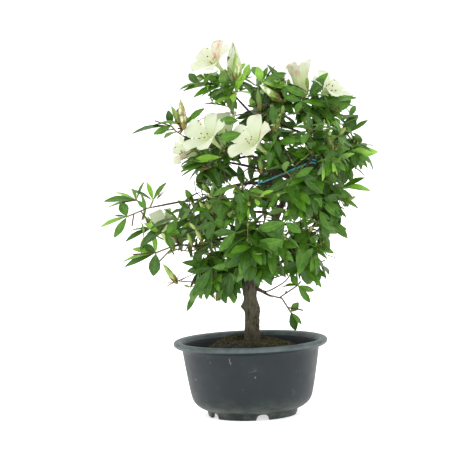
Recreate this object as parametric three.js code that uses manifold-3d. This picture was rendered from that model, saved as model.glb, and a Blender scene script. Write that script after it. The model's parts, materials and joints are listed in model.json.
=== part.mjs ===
// A potted satsuki azalea: a young trained shrub in a round plastic nursery pot, in white blossom.
// Millimetres, +Z up. The origin is on the floor at the centre of the pot's foot ring, and -Y is the front.
import * as THREE from 'three';
import { mergeVertices } from 'three/addons/utils/BufferGeometryUtils.js';
import Module from 'manifold-3d';

const wasm = await Module();
wasm.setup();

const CLEARANCE = 0.3;
const SMALLEST_EDGE = 0.04;
const UP = new THREE.Vector3(0, 0, 1);
const GOLDEN_ANGLE = Math.PI * (3 - Math.sqrt(5));

// The pot: a tapering bowl on a notched foot ring, with a rolled rim.
const POT = {
  height: 88.5,
  wallRadiusTop: 79.6,
  wallTopHeight: 77,
  wallRadiusLow: 70.8,
  wallLowHeight: 24,
  wall: 2,
  floor: 1.6,
  footRadius: 53,
  footTaper: 1.5,
  footHeight: 7,
  footWall: 3.5,
  undersideHeight: 6,
  notches: 5,
  notchWidth: 15.7,
  notchHeight: 6.6,
  notchTurn: 12.6,
  centreDrain: 7,
  drainRadius: 4.2,
  drains: 5,
  drainRing: 32,
  sides: 32,
};
// The rolled rim, over its outside from below: how far out from the axis and how far under the pot's top.
const RIM = [[89, 6.4], [90, 3.2], [87, 0], [81.6, 0.6]];
// The two bends of the corner between foot and wall: how far out and how far up, from its nearer end.
const CORNER = { foot: [9, 3.2], wall: [-1.8, -9] };

// The root ball: a mound that stands highest behind the trunk and falls to the pot's wall.
const SOIL = {
  seatHeight: 85.7,
  seatRadius: 12,
  seatBlend: 9,
  edgeHeight: 69,
  edgeDrop: 4,
  fallStart: 25.3,
  mound: { height: 5, centre: [-16, 26], spread: [30, 26] },
  lumps: [0.9, 0.5],
  rings: [12, 20, 34, 50, 64],
  toeIn: 1.5,
  sides: 24,
};

// The trunk, from its flat cut on the soil to its tip: centre points and the radius at each.
const TRUNK = {
  points: [
    [1.5, 0, 86], [2.2, 0, 98], [3, 0, 118], [1.5, 0, 137], [0.5, 0, 153], [1, 2, 171], [10, 4, 192],
    [24.5, 5, 211.5], [34.5, 4, 227.5], [42, 3, 243.5], [52, 2, 261], [64, 0, 275.5], [76, -2, 289],
    [82, 0, 307], [83, 2, 330], [82, 2, 347],
  ],
  radii: [9.8, 8.8, 8.4, 7.6, 8.8, 7.6, 5.6, 4.2, 3.8, 3.5, 3.2, 3.1, 2.9, 2.6, 2.1, 1.8],
  flare: 0.6,
  flareTop: 96,
  flareFall: 10,
  sides: 10,
  steps: 22,
};
// A pruned stub and two healed swellings: height, side it faces in degrees from +X, how far it stands out, how far
// it spreads along the trunk, and how far round it, in radians.
const KNOTS = [
  { height: 128, facing: 185, out: 4.4, spread: 4.5, wrap: 0.55 },
  { height: 124, facing: -5, out: 1.8, spread: 7, wrap: 0.55 },
  { height: 150, facing: 20, out: 2, spread: 7, wrap: 0.55 },
];

// The crown's spaces. Each is an ellipsoid round a centre, which its foliage keeps to.
// tips: leafy shoot ends; droop: how far leaves hang; seed: starts its dice; shoots: the ends that show by
// themselves against the sky, with the rest placed by rule.
const SPACES = {
  top_left: { centre: [-22, -12, 388], radii: [58, 44, 42], tips: 4, droop: 0.2, seed: 1611 },
  top: { centre: [42, 4, 380], radii: [52, 49, 42], tips: 5, droop: 0.1, seed: 1612 },
  top_right: { centre: [94, -4, 364], radii: [52, 49, 46], tips: 5, droop: 0.15, seed: 913 },
  right_upper: { centre: [118, 0, 310], radii: [50, 49, 50], tips: 5, droop: 0.45, seed: 714 },
  right: { centre: [92, -6, 252], radii: [46, 50, 46], tips: 4, droop: 0.8, seed: 1515 },
  right_lower: { centre: [76, -10, 200], radii: [48, 50, 54], tips: 5, droop: 0.9, seed: 316 },
  right_low: {
    centre: [52, -8, 132], radii: [38, 36, 44], tips: 2, droop: 0.9, seed: 4117,
    shoots: [[47, -8, 118], [57, -8, 152]],
  },
  front_centre: { centre: [50, -62, 268], radii: [50, 46, 46], tips: 4, droop: 0.6, seed: 1018 },
  left_middle: { centre: [-38, -16, 316], radii: [54, 49, 42], tips: 4, droop: 0.25, seed: 1119 },
  left_shoot: {
    centre: [-90, -2, 342], radii: [46, 33, 30], tips: 2, droop: 0.25, seed: 7320,
    shoots: [[-97, -6, 341], [-70, 0, 345]],
  },
  front_upper: { centre: [26, -60, 328], radii: [50, 46, 44], tips: 4, droop: 0.3, seed: 521 },
  left_centre: { centre: [-44, -20, 254], radii: [48, 47, 38], tips: 4, droop: 0.3, seed: 1222 },
  far_left: {
    centre: [-133, -10, 243], radii: [42, 36, 42], tips: 3, droop: 0.3, seed: 7723,
    shoots: [[-130, -13, 259], [-133, -9, 238], [-114, -17, 262]],
  },
  left_lower: {
    centre: [-104, -6, 204], radii: [54, 46, 48], tips: 4, droop: 0.4, seed: 4924,
    shoots: [[-112, -16, 218], [-106, -8, 193], [-84, -22, 222]],
  },
  left_low: { centre: [-46, -8, 174], radii: [58, 50, 56], tips: 5, droop: 0.9, seed: 325 },
  front_low: { centre: [8, -62, 206], radii: [52, 48, 52], tips: 5, droop: 0.7, seed: 2326 },
  front_right: { centre: [88, -72, 318], radii: [47, 44, 48], tips: 4, droop: 0.4, seed: 127 },
  front_left: { centre: [-10, -76, 262], radii: [46, 42, 42], tips: 3, droop: 0.35, seed: 2128 },
  back_top: { centre: [28, 50, 352], radii: [54, 50, 48], tips: 4, droop: 0.2, seed: 29 },
  back_right: { centre: [94, 52, 294], radii: [52, 50, 54], tips: 4, droop: 0.45, seed: 1030 },
  back_left: { centre: [-46, 46, 300], radii: [54, 49, 48], tips: 4, droop: 0.35, seed: 131 },
  back_centre: { centre: [24, 64, 266], radii: [52, 47, 50], tips: 3, droop: 0.45, seed: 2232 },
  back_low: { centre: [14, 50, 196], radii: [54, 50, 54], tips: 4, droop: 0.7, seed: 1133 },
  back_low_left: { centre: [-62, 44, 222], radii: [52, 47, 46], tips: 3, droop: 0.5, seed: 1634 },
  back_low_right: { centre: [82, 48, 218], radii: [49, 49, 48], tips: 4, droop: 0.7, seed: 1735 },
};

// The boughs, one to each space but the trunk's own. from: the limb it leaves; at: the height on the trunk, or the
// share along a bough, where it leaves; radii: at its foot and tip; via: the points it passes on the way.
const BOUGHS = {
  top_left: { from: 'trunk', at: 283, radii: [1.9, 1.2], via: [[50, 7, 304], [22, 3, 337]] },
  top: { from: 'trunk', at: 326, radii: [1.6, 1.2], via: [[73, 4, 342]] },
  right_upper: { from: 'trunk', at: 305, radii: [1.8, 1.3], via: [[91, -1, 304]] },
  right: { from: 'trunk', at: 251, radii: [2, 1.3], via: [[64, -2, 251]] },
  right_lower: { from: 'trunk', at: 158, radii: [2.6, 1.5], via: [[24, -2, 165], [42, -6, 180]] },
  right_low: { from: 'trunk', at: 150, radii: [2.7, 1], via: [[12, -2, 146], [24, -4, 139]] },
  front_centre: { from: 'trunk', at: 262, radii: [1.8, 1.2], via: [[53, -18, 268]] },
  left_middle: { from: 'trunk', at: 311, radii: [2, 1.4], via: [[65, -8, 302], [42, -13, 302], [18, -14, 300]] },
  left_shoot: { from: 'left_middle', at: 0.86, radii: [1.3, 0.9], via: [[-20, 0, 299], [-46, -2, 312]] },
  front_upper: { from: 'left_middle', at: 0.4, radii: [1.4, 1], via: [[42, -27, 307]] },
  left_centre: { from: 'trunk', at: 230, radii: [1.8, 1.2], via: [[20, 0, 236], [-6, -7, 238]] },
  far_left: {
    from: 'trunk', at: 262, radii: [2.1, 1],
    via: [[34, -5, 268], [8, -9, 271], [-29, -12, 265], [-47, -13, 256], [-81, -13, 251.5]],
  },
  left_lower: { from: 'trunk', at: 205, radii: [2.3, 1.3], via: [[-3, 5, 209], [-35, 3, 205], [-50, 0, 199]] },
  left_low: { from: 'trunk', at: 171, radii: [1.9, 1.2], via: [[-8, -1, 176]] },
  front_low: { from: 'trunk', at: 186, radii: [2, 1.3], via: [[6, -14, 194]] },
  front_right: { from: 'trunk', at: 281, radii: [1.8, 1.2], via: [[73, -24, 292]] },
  front_left: { from: 'trunk', at: 240, radii: [1.7, 1.1], via: [[26, -22, 250], [8, -40, 258]] },
  back_top: { from: 'trunk', at: 318, radii: [1.7, 1.2], via: [[66, 24, 327], [46, 40, 336]] },
  back_right: { from: 'trunk', at: 286, radii: [2, 1.3], via: [[78, 24, 288]] },
  back_left: { from: 'trunk', at: 271, radii: [2, 1.3], via: [[34, 18, 281], [0, 34, 290]] },
  back_centre: { from: 'trunk', at: 236, radii: [2, 1.3], via: [[33, 32, 246]] },
  back_low: { from: 'trunk', at: 179, radii: [2.2, 1.3], via: [[6, 22, 186]] },
  back_low_left: { from: 'trunk', at: 194, radii: [2, 1.2], via: [[-12, 24, 206]] },
  back_low_right: { from: 'trunk', at: 215, radii: [2, 1.2], via: [[42, 22, 219]] },
};
const BOUGH_SIDES = 5;

// The open flowers: the space each grows in, where its tube starts, the way it faces, its size and how wide it is.
const FLOWERS = [
  { space: 'top_left', foot: [-17, -12, 396], facing: [-0.54, -0.5, 0.68], length: 41, open: 1 },
  { space: 'top_left', foot: [-7, -2, 386], facing: [-0.04, 0.02, 0.99], length: 46, open: 0.12 },
  { space: 'top_right', foot: [71, 0, 367], facing: [-0.16, -0.35, 0.92], length: 44, open: 0.45 },
  { space: 'top_right', foot: [84, 4, 361], facing: [0.55, -0.35, 0.76], length: 39, open: 0.95 },
  { space: 'left_middle', foot: [-25, -14, 309], facing: [-0.58, -0.54, 0.61], length: 47, open: 1 },
  { space: 'left_middle', foot: [-46, 6, 303], facing: [-0.88, 0.25, 0.1], length: 38, open: 0.8 },
  { space: 'left_middle', foot: [-18, 6, 306], facing: [-0.12, 0.1, 0.98], length: 46, open: 0.35 },
  { space: 'front_upper', foot: [29, -44, 302], facing: [-0.6, -0.52, 0.6], length: 48, open: 1 },
  { space: 'left_lower', foot: [-86, 8, 199], facing: [-0.4, 0.2, 0.9], length: 45, open: 0.4 },
  { space: 'back_top', foot: [26, 62, 345], facing: [0.2, 0.88, 0.4], length: 40, open: 0.95 },
  { space: 'back_right', foot: [92, 63, 296], facing: [0.15, 0.95, 0.2], length: 40, open: 0.9 },
  { space: 'back_left', foot: [-40, 63, 300], facing: [-0.15, 0.95, 0.2], length: 40, open: 0.95 },
];

// The buds: the space each grows in, where its scales start and the way it points.
const BUDS = [
  { space: 'top_left', foot: [-6, -20, 389], facing: [0, -0.08, 1], length: 33 },
  { space: 'top_left', foot: [-12, -14, 354], facing: [-0.05, -0.1, 1], length: 18 },
  { space: 'top', foot: [43, -25, 366], facing: [-0.78, -0.15, 0.62], length: 30 },
  { space: 'top', foot: [20, -20, 358], facing: [-0.08, -0.1, 1], length: 22 },
  { space: 'front_upper', foot: [34, -52, 331], facing: [0.38, -0.1, 0.92], length: 22 },
  { space: 'left_shoot', foot: [-68, -6, 338], facing: [-0.1, -0.1, 0.99], length: 34 },
  { space: 'left_shoot', foot: [-72, -2, 340], facing: [-0.4, 0, 0.9], length: 26 },
  { space: 'front_right', foot: [99, -66, 304], facing: [-0.14, -0.1, 0.98], length: 31 },
  { space: 'left_centre', foot: [-20, -40, 240], facing: [-0.15, -0.1, 0.98], length: 20 },
  { space: 'left_centre', foot: [-44, -34, 240], facing: [-0.6, -0.1, 0.8], length: 17 },
  { space: 'left_centre', foot: [-32, -34, 238], facing: [-0.6, -0.1, 0.85], length: 16 },
  { space: 'left_low', foot: [-84, -14, 160], facing: [-0.55, -0.1, 0.83], length: 26 },
  { space: 'right_lower', foot: [44, -38, 205], facing: [-0.4, -0.1, 0.9], length: 15 },
  { space: 'back_centre', foot: [10, 84, 284], facing: [-0.2, 0.5, 0.84], length: 20 },
  { space: 'back_low', foot: [30, 72, 210], facing: [0.2, 0.6, 0.77], length: 20 },
];

// A leaf and a shoot, a little larger than life because the solids carry fewer of them.
const LEAF = {
  length: [28, 38], width: 0.44, widest: 0.48, hang: 0.16, perShoot: 7, spacing: 2.4, tilt: [44, 96],
  jitter: 4, tries: [1, 0.75],
};
const TWIG = {
  tipRadius: 0.95, stepLength: 32, stemLength: 9, sides: 3, growth: 2.3, sag: 0.08, forksPerStretch: 3, forkRoom: 9,
  stoutness: 1.15, shortest: 6,
};
// The part of a space's radius that its shoot ends take, so that their leaves stay inside it, and how many places
// are tried for each shoot.
const REACH = { leaf: 27, inner: 0.3, tries: 4 };

// The coated wire that ties the long left bough up to the trunk.
const WIRE = {
  radius: 0.95, gap: 0.45, swell: 1.05, sides: 4, steps: 40,
  loopHeight: 292, loopRise: 4.5, turns: 1.2, hookShare: 0.24, hookRise: -2, hookTurns: 0.7, pointsPerTurn: 9,
};

// A flower's shape as shares of its length. out and forward: the petals' edge, first where two petals meet and then
// at two points of a petal; throat: how deep it is sunk; furl: how much a flower narrows and lengthens as it shuts.
const PETALS = { count: 5, out: [0.34, 0.6, 0.6], forward: [0.66, 0.84, 0.84], throat: 0.36, furl: [0.55, 0.16] };
// A bud's half section: how far out and how far along, as shares of its length.
const BUD_SECTION = [[0.13, 0.2], [0.17, 0.5]];
// The clear room before a flower's face: from how near, to how many lengths, and how wide.
const BLOOM_ROOM = { near: 4, lengths: 1.15, width: 0.24 };

// The colours of the plant and its pot.
const COLOURS = {
  pot: [0x3c4446, 0.55], soil: [0x2c281d, 0.95], bark: [0x4a3b30, 0.9], leaf: [0x3f7a2a, 0.5], wire: [0x2f8f9c, 0.4],
};

// A seeded dice: the same seed always gives the same rolls from 0 to 1.
class Dice {
  constructor(seed) {
    this.state = Math.imul(seed + 1, 2654435761) >>> 0;
    this.roll();
  }

  roll() {
    this.state = (Math.imul(this.state, 1664525) + 1013904223) >>> 0;
    return this.state / 4294967296;
  }

  between([low, high]) {
    return low + (high - low) * this.roll();
  }
}

const vector = (values) => new THREE.Vector3(...values);
const fraction = (x) => x - Math.floor(x);
const radians = THREE.MathUtils.degToRad;

// A closed three.js geometry as a solid for joining and cutting.
function toSolid(geometry) {
  const bare = geometry.clone();
  for (const name of Object.keys(bare.attributes)) {
    if (name !== 'position') bare.deleteAttribute(name);
  }
  const merged = mergeVertices(bare, 1e-4);
  return new wasm.Manifold(new wasm.Mesh({
    numProp: 3,
    vertProperties: new Float32Array(merged.attributes.position.array),
    triVerts: new Uint32Array(merged.index.array),
  }));
}

// A solid as a three.js geometry again.
function toGeometry(solid) {
  const mesh = solid.getMesh();
  const points = new Float32Array(mesh.numVert * 3);
  for (let i = 0; i < mesh.numVert; i += 1) {
    points.set(mesh.vertProperties.subarray(i * mesh.numProp, i * mesh.numProp + 3), i * 3);
  }
  const geometry = new THREE.BufferGeometry();
  geometry.setAttribute('position', new THREE.BufferAttribute(points, 3));
  geometry.setIndex(new THREE.BufferAttribute(new Uint32Array(mesh.triVerts), 1));
  return geometry;
}

// The largest of a solid's separate bodies: loose scraps are dropped and sealed hollows filled.
function largestBody(solid) {
  return solid.decompose().reduce((most, body) => (body.volume() > most.volume() ? body : most));
}

// Moves each of a geometry's vertices by a rule that is given the vertex.
function reshape(geometry, rule) {
  const position = geometry.attributes.position;
  const point = new THREE.Vector3();
  for (let i = 0; i < position.count; i += 1) {
    point.fromBufferAttribute(position, i);
    const moved = rule(point);
    position.setXYZ(i, moved.x, moved.y, moved.z);
  }
  return geometry;
}

// A round limb along a curve: a cylinder whose rings follow the curve and take its radius from a rule.
// radiusAt is given the share along the limb, the point on the curve and the direction out from it.
function limbGeometry(curve, radiusAt, sides, steps) {
  const frames = curve.computeFrenetFrames(steps);
  return reshape(new THREE.CylinderGeometry(1, 1, 1, sides, steps), (point) => {
    const share = point.y + 0.5;
    const ring = Math.round(share * steps);
    const centre = curve.getPointAt(share);
    const out = new THREE.Vector3()
      .addScaledVector(frames.normals[ring], point.x)
      .addScaledVector(frames.binormals[ring], -point.z);
    const away = out.length();
    if (away > 1e-6) out.normalize();
    return centre.clone().addScaledVector(out, away * radiusAt(share, centre, out));
  });
}

// The value at a share from 0 to 1 along a list of values.
function valueAlong(values, share) {
  const place = share * (values.length - 1);
  const index = Math.min(values.length - 2, Math.floor(place));
  return THREE.MathUtils.lerp(values[index], values[index + 1], place - index);
}

// The pot's half section: up the outside of foot and wall, over the rolled rim, down the inside and under the floor.
function potProfile() {
  const point = (r, z) => new THREE.Vector2(r, z);
  const corner = new THREE.CubicBezierCurve(
    point(POT.footRadius, POT.footHeight),
    point(POT.footRadius + CORNER.foot[0], POT.footHeight + CORNER.foot[1]),
    point(POT.wallRadiusLow + CORNER.wall[0], POT.wallLowHeight + CORNER.wall[1]),
    point(POT.wallRadiusLow, POT.wallLowHeight),
  );
  const outside = corner.getPoints(2);
  const inside = corner.getPoints(2).reverse().map((p) => point(p.x - POT.wall * 0.9, p.y + POT.floor));
  const footInside = POT.footRadius - POT.footWall;
  const loop = [
    ...outside,
    point(POT.wallRadiusTop, POT.wallTopHeight),
    ...RIM.map(([r, below]) => point(r, POT.height - below)),
    point(POT.wallRadiusTop - POT.wall * 1.2, POT.wallTopHeight),
    ...inside,
    point(POT.centreDrain, POT.footHeight + POT.floor),
    point(POT.centreDrain, POT.undersideHeight),
    point(footInside, POT.undersideHeight),
    point(footInside - POT.footTaper, 0),
    point(POT.footRadius - POT.footTaper, 0),
  ];
  return [...loop, loop[0].clone()];
}

// A vertical bar with a rounded top, as deep as the foot ring's wall, that cuts one notch.
function notchCutter() {
  const half = POT.notchWidth / 2;
  const [top, below] = [POT.notchHeight, -1];
  const [shoulder, waist] = [half * 0.62, half * 0.75];
  const outline = new THREE.Shape();
  outline.moveTo(-half, below);
  outline.lineTo(half, below);
  outline.bezierCurveTo(waist, top * 0.6, shoulder, top, 0, top);
  outline.bezierCurveTo(-shoulder, top, -waist, top * 0.6, -half, below);
  const bar = new THREE.ExtrudeGeometry(outline, { depth: POT.footWall * 4, bevelEnabled: false, curveSegments: 3 });
  return bar.rotateX(Math.PI / 2);
}

// The pot: its section turned round the axis, less the foot's notches and the ring of drain holes.
function makePot() {
  const profile = potProfile();
  const bowl = toSolid(new THREE.LatheGeometry(profile, POT.sides).rotateX(Math.PI / 2));
  const cutters = [];
  for (let i = 0; i < POT.notches; i += 1) {
    const turn = radians(POT.notchTurn + (360 / POT.notches) * i);
    cutters.push(toSolid(notchCutter().translate(0, POT.footWall * 2 - POT.footRadius, 0).rotateZ(turn)));
  }
  for (let i = 0; i < POT.drains; i += 1) {
    const turn = radians(POT.notchTurn + (360 / POT.drains) * (i + 0.5));
    const drain = new THREE.CylinderGeometry(POT.drainRadius, POT.drainRadius, POT.footHeight, 6);
    cutters.push(toSolid(drain.rotateX(Math.PI / 2).translate(
      POT.drainRing * Math.sin(turn), -POT.drainRing * Math.cos(turn), POT.footHeight)));
  }
  return toGeometry(largestBody(bowl.subtract(wasm.Manifold.union(cutters))));
}

// The soil's height above the floor at a place: a flat seat under the trunk, a mound, and a fall to the wall.
function soilHeight(x, y) {
  const { lerp, smoothstep } = THREE.MathUtils;
  const { mound, lumps } = SOIL;
  const away = Math.hypot(x - TRUNK.points[0][0], y);
  const fromMound = ((x - mound.centre[0]) / mound.spread[0]) ** 2 + ((y - mound.centre[1]) / mound.spread[1]) ** 2;
  const lump = lumps[0] * Math.sin(x * 0.21 + 1.3) * Math.cos(y * 0.24) + lumps[1] * Math.sin(x * 0.47 + y * 0.39);
  const top = SOIL.seatHeight + Math.exp(-fromMound) * mound.height + lump;
  const height = lerp(top, SOIL.edgeHeight + lump, smoothstep(away, SOIL.fallStart, POT.wallRadiusTop));
  const fromSeat = smoothstep(away, SOIL.seatRadius, SOIL.seatRadius + SOIL.seatBlend);
  return lerp(SOIL.seatHeight, height, fromSeat);
}

// The root ball: it fills the pot clear of the wall and floor, with its mounded top.
function makeSoil() {
  const low = POT.footHeight + POT.floor + CLEARANCE;
  const wallShare = (height) => (height - POT.wallLowHeight) / (POT.wallTopHeight - POT.wallLowHeight);
  const innerRadius = (height) => THREE.MathUtils.lerp(POT.wallRadiusLow, POT.wallRadiusTop, wallShare(height))
    - POT.wall * 1.35 - CLEARANCE;
  const edge = SOIL.edgeHeight - SOIL.edgeDrop;
  const profile = [
    [0, low], [POT.footRadius - 6, low], [POT.wallRadiusLow - 12, low + 6],
    [innerRadius(POT.wallLowHeight) - SOIL.toeIn, POT.wallLowHeight], [innerRadius(edge), edge],
    ...SOIL.rings.toReversed().map((r) => [r, SOIL.seatHeight]), [0, SOIL.seatHeight],
  ].map(([r, z]) => new THREE.Vector2(r, z));
  const ball = new THREE.LatheGeometry(profile, SOIL.sides).rotateX(Math.PI / 2);
  return reshape(ball, (point) => {
    if (point.z > SOIL.seatHeight - 1e-3) point.z = soilHeight(point.x, point.y);
    return point;
  });
}

// The limbs as curves with a radius along them: the trunk, then each bough as it is worked out.
const limbs = {};
const trunkCurve = new THREE.CatmullRomCurve3(TRUNK.points.map(vector), false, 'centripetal');
trunkCurve.arcLengthDivisions = 400;

// The trunk's radius where the curve has a given height, with the flare at its foot.
function trunkRadius(height) {
  const index = TRUNK.points.findIndex((p) => p[2] >= height);
  if (index <= 0) return TRUNK.radii[index === 0 ? 0 : TRUNK.radii.length - 1];
  const [low, high] = [TRUNK.points[index - 1][2], TRUNK.points[index][2]];
  return THREE.MathUtils.lerp(TRUNK.radii[index - 1], TRUNK.radii[index], (height - low) / (high - low));
}

// How far the trunk's knots stand out at a point on its skin.
function knotBulge(height, out) {
  const facing = Math.atan2(out.y, out.x);
  return KNOTS.reduce((sum, knot) => {
    const turn = Math.atan2(Math.sin(facing - radians(knot.facing)), Math.cos(facing - radians(knot.facing)));
    const spread = ((height - knot.height) / knot.spread) ** 2 + (turn / knot.wrap) ** 2;
    return sum + knot.out * Math.exp(-spread);
  }, 0);
}

// The share of a curve's length at which it first reaches a height.
function shareAtHeight(curve, height) {
  let [low, high] = [0, 1];
  for (let i = 0; i < 30; i += 1) {
    const middle = (low + high) / 2;
    if (curve.getPointAt(middle).z < height) low = middle;
    else high = middle;
  }
  return low;
}

// How deep a point lies in a space: 0 at its centre and 1 on its skin.
function depthIn(space, point) {
  const [x, y, z] = space.centre;
  const [rx, ry, rz] = space.radii;
  return Math.hypot((point.x - x) / rx, (point.y - y) / ry, (point.z - z) / rz);
}

// Whether a point lies in a space and nearer to its centre than to any other's, by a margin.
function isInOwnSpace(name, point, margin = 0.03) {
  const own = depthIn(SPACES[name], point);
  const others = Object.keys(SPACES).filter((other) => other !== name);
  return own <= 1 && others.every((other) => own + margin < depthIn(SPACES[other], point));
}

// Where a bough ends: as it enters the space it carries, on the line from its last bend to the space's centre.
function entryPoint(name, lastBend) {
  const centre = vector(SPACES[name].centre);
  for (let share = 0.8; share > 0; share -= 0.02) {
    const point = centre.clone().lerp(lastBend, share);
    if (depthIn(SPACES[name], point) < 0.62 && isInOwnSpace(name, point, 0.06)) return point;
  }
  return centre;
}

// A limb's centre line as short straight stretches with a radius each, for measuring how near a twig passes.
function addLimb(name, curve, radiusAt, steps) {
  const points = curve.getSpacedPoints(steps);
  limbs[name] = { curve, radiusAt, points, radii: points.map((p, i) => radiusAt(i / steps, p)) };
}

function layOutLimbs() {
  addLimb('trunk', trunkCurve, (share, point) => trunkRadius(point.z), 40);
  for (const [name, bough] of Object.entries(BOUGHS)) {
    const parent = limbs[bough.from].curve;
    const share = bough.from === 'trunk' ? shareAtHeight(parent, bough.at) : bough.at;
    const via = bough.via.map(vector);
    const end = entryPoint(name, via[via.length - 1]);
    const curve = new THREE.CatmullRomCurve3([parent.getPointAt(share), ...via, end], false, 'centripetal');
    addLimb(name, curve, (along) => THREE.MathUtils.lerp(...bough.radii, along), 12);
  }
}

// The shortest distance between two straight stretches.
function stretchDistance(a0, a1, b0, b1) {
  const u = a1.clone().sub(a0);
  const v = b1.clone().sub(b0);
  const w = a0.clone().sub(b0);
  const [a, b, c, d, e] = [u.dot(u), u.dot(v), v.dot(v), u.dot(w), v.dot(w)];
  const clamp = THREE.MathUtils.clamp;
  const det = a * c - b * b;
  let s = det > 1e-9 ? clamp((b * e - c * d) / det, 0, 1) : 0;
  const t = c > 1e-9 ? clamp((b * s + e) / c, 0, 1) : 0;
  s = a > 1e-9 ? clamp((b * t - d) / a, 0, 1) : 0;
  return a0.clone().addScaledVector(u, s).distanceTo(b0.clone().addScaledVector(v, t));
}

// Whether a straight stretch of a given thickness touches any limb.
function touchesLimb(from, to, thickness) {
  return Object.values(limbs).some(({ points, radii }) => points.some((p, i) => i > 0
    && stretchDistance(from, to, points[i - 1], p) < Math.max(radii[i - 1], radii[i]) + thickness));
}

// Whether a point lies in the clear room before a flower's face, which leaves and twigs leave open.
function isInBloomRoom(point) {
  return FLOWERS.some(({ foot, facing, length, open }) => {
    const from = point.clone().sub(vector(foot));
    const away = from.length();
    const isFacing = from.dot(vector(facing).normalize()) / away > 1 - BLOOM_ROOM.width * open;
    return isFacing && away > BLOOM_ROOM.near && away < length * BLOOM_ROOM.lengths;
  });
}

// The twigs of one space: points joined to the point they grow from, started by the stem at the bough's tip.
class Twigs {
  constructor(name) {
    this.name = name;
    this.space = SPACES[name];
    this.dice = new Dice(this.space.seed);
    const own = limbs[name] ?? limbs.trunk;
    const tip = own.curve.getPointAt(1);
    const heading = own.curve.getTangentAt(1).normalize();
    this.stemRadius = own.radiusAt(1, tip);
    this.points = [];
    this.shoots = [];
    this.leaves = [];
    this.paths = [];
    this.addPoint(tip.clone().addScaledVector(heading, CLEARANCE), heading, -1);
    this.paths.push([0, this.addStretch(0, tip.clone().addScaledVector(heading, TWIG.stemLength))]);
  }

  addPoint(place, heading, parent) {
    const run = parent < 0 ? 0 : this.points[parent].run + place.distanceTo(this.points[parent].place);
    this.points.push({ place, heading: heading.clone().normalize(), parent, run, forks: 0 });
    return this.points.length - 1;
  }

  // A straight stretch from a point to a place, with points on the way that other twigs can fork from.
  addStretch(parent, place) {
    const from = this.points[parent].place;
    const heading = place.clone().sub(from);
    let last = parent;
    for (let i = 1; i <= TWIG.forksPerStretch; i += 1) {
      last = this.addPoint(from.clone().lerp(place, i / TWIG.forksPerStretch), heading, last);
    }
    return last;
  }

  // The twigs as straight stretches.
  stretches() {
    return this.points.slice(1).map((point) => [this.points[point.parent].place, point.place]);
  }

  // The k-th shoot end: an evenly spread place in the part of the space that leaves its leaves room.
  shootEnd(k, phases) {
    const spread = [0.8191725134, 0.6710436067, 0.5497004779].map((step, i) => fraction(phases[i] + step * k));
    const height = 1 - 2 * spread[0];
    const turn = 2 * Math.PI * spread[1];
    const away = Math.cbrt(THREE.MathUtils.lerp(REACH.inner ** 3, 1, spread[2]));
    const flat = Math.sqrt(1 - height * height);
    const [rx, ry, rz] = this.space.radii.map((r) => Math.max(r - REACH.leaf, r * 0.35) * away);
    return vector(this.space.centre)
      .add(new THREE.Vector3(flat * Math.cos(turn) * rx, flat * Math.sin(turn) * ry, height * rz));
  }

  // The point that a twig to a place best grows from: near, not bent back, and not far from the stem.
  bestParent(place) {
    let best = this.paths[0][1];
    let least = Infinity;
    this.points.forEach((point, index) => {
      if (index === 0) return;
      const reach = place.clone().sub(point.place);
      const distance = reach.length();
      if (distance < TWIG.shortest) return;
      const bend = 1 - reach.dot(point.heading) / distance;
      const cost = distance * (1 + 0.5 * bend) + 0.15 * point.run + TWIG.forkRoom * point.forks;
      if (cost < least) [least, best] = [cost, index];
    });
    return best;
  }

  // Grows one twig to a place and gives back its end, or -1 where it would leave the space or touch a limb.
  grow(place, mustGrow = false) {
    const parent = this.bestParent(place);
    const from = this.points[parent];
    const reach = place.distanceTo(from.place);
    const straight = place.clone().sub(from.place).normalize();
    const middle = from.place.clone()
      .addScaledVector(straight.clone().add(from.heading).normalize(), reach * 0.5)
      .addScaledVector(UP, -TWIG.sag * reach);
    const curve = new THREE.QuadraticBezierCurve3(from.place, middle, place);
    const steps = Math.max(1, Math.round(reach / TWIG.stepLength));
    const ends = curve.getPoints(steps);
    const isBlocked = (p, i) => i > 0 && (!isInOwnSpace(this.name, p) || isInBloomRoom(p)
      || touchesLimb(ends[i - 1].clone().lerp(p, 0.15), p, TWIG.tipRadius * 2));
    if (!mustGrow && ends.some(isBlocked)) return -1;
    const path = [parent];
    for (let i = 1; i <= steps; i += 1) path.push(this.addStretch(path[path.length - 1], ends[i]));
    from.forks += 1;
    this.paths.push(path);
    return path[path.length - 1];
  }

  // Grows the leafy shoots, nearest first, then the twigs that carry flowers and buds.
  growAll() {
    const phases = [this.dice.roll(), this.dice.roll(), this.dice.roll()];
    const start = this.points[this.paths[0][1]].place;
    const ends = (this.space.shoots ?? []).map(vector);
    for (let k = 0; ends.length < this.space.tips && k < this.space.tips * REACH.tries; k += 1) {
      const end = this.shootEnd(k, phases);
      if (isInOwnSpace(this.name, end, 0.15) && !isInBloomRoom(end) && !touchesLimb(end, end, 5)) ends.push(end);
    }
    ends.sort((a, b) => a.distanceTo(start) - b.distanceTo(start));
    for (const end of ends) {
      const tip = this.grow(end);
      if (tip >= 0) this.shoots.push(tip);
    }
    for (const bloom of [...FLOWERS, ...BUDS]) {
      if (bloom.space === this.name) this.grow(vector(bloom.foot), true);
    }
  }

  // Each point's radius: every twig that leaves a stretch adds to it, and no stretch is thicker than the stem.
  radii() {
    const load = new Array(this.points.length).fill(0);
    for (let i = this.points.length - 1; i > 0; i -= 1) {
      load[i] = Math.max(load[i], TWIG.tipRadius ** TWIG.growth);
      load[this.points[i].parent] += load[i];
    }
    return load.map((sum) => Math.min(this.stemRadius, Math.max(TWIG.tipRadius, sum ** (1 / TWIG.growth))));
  }
}

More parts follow.
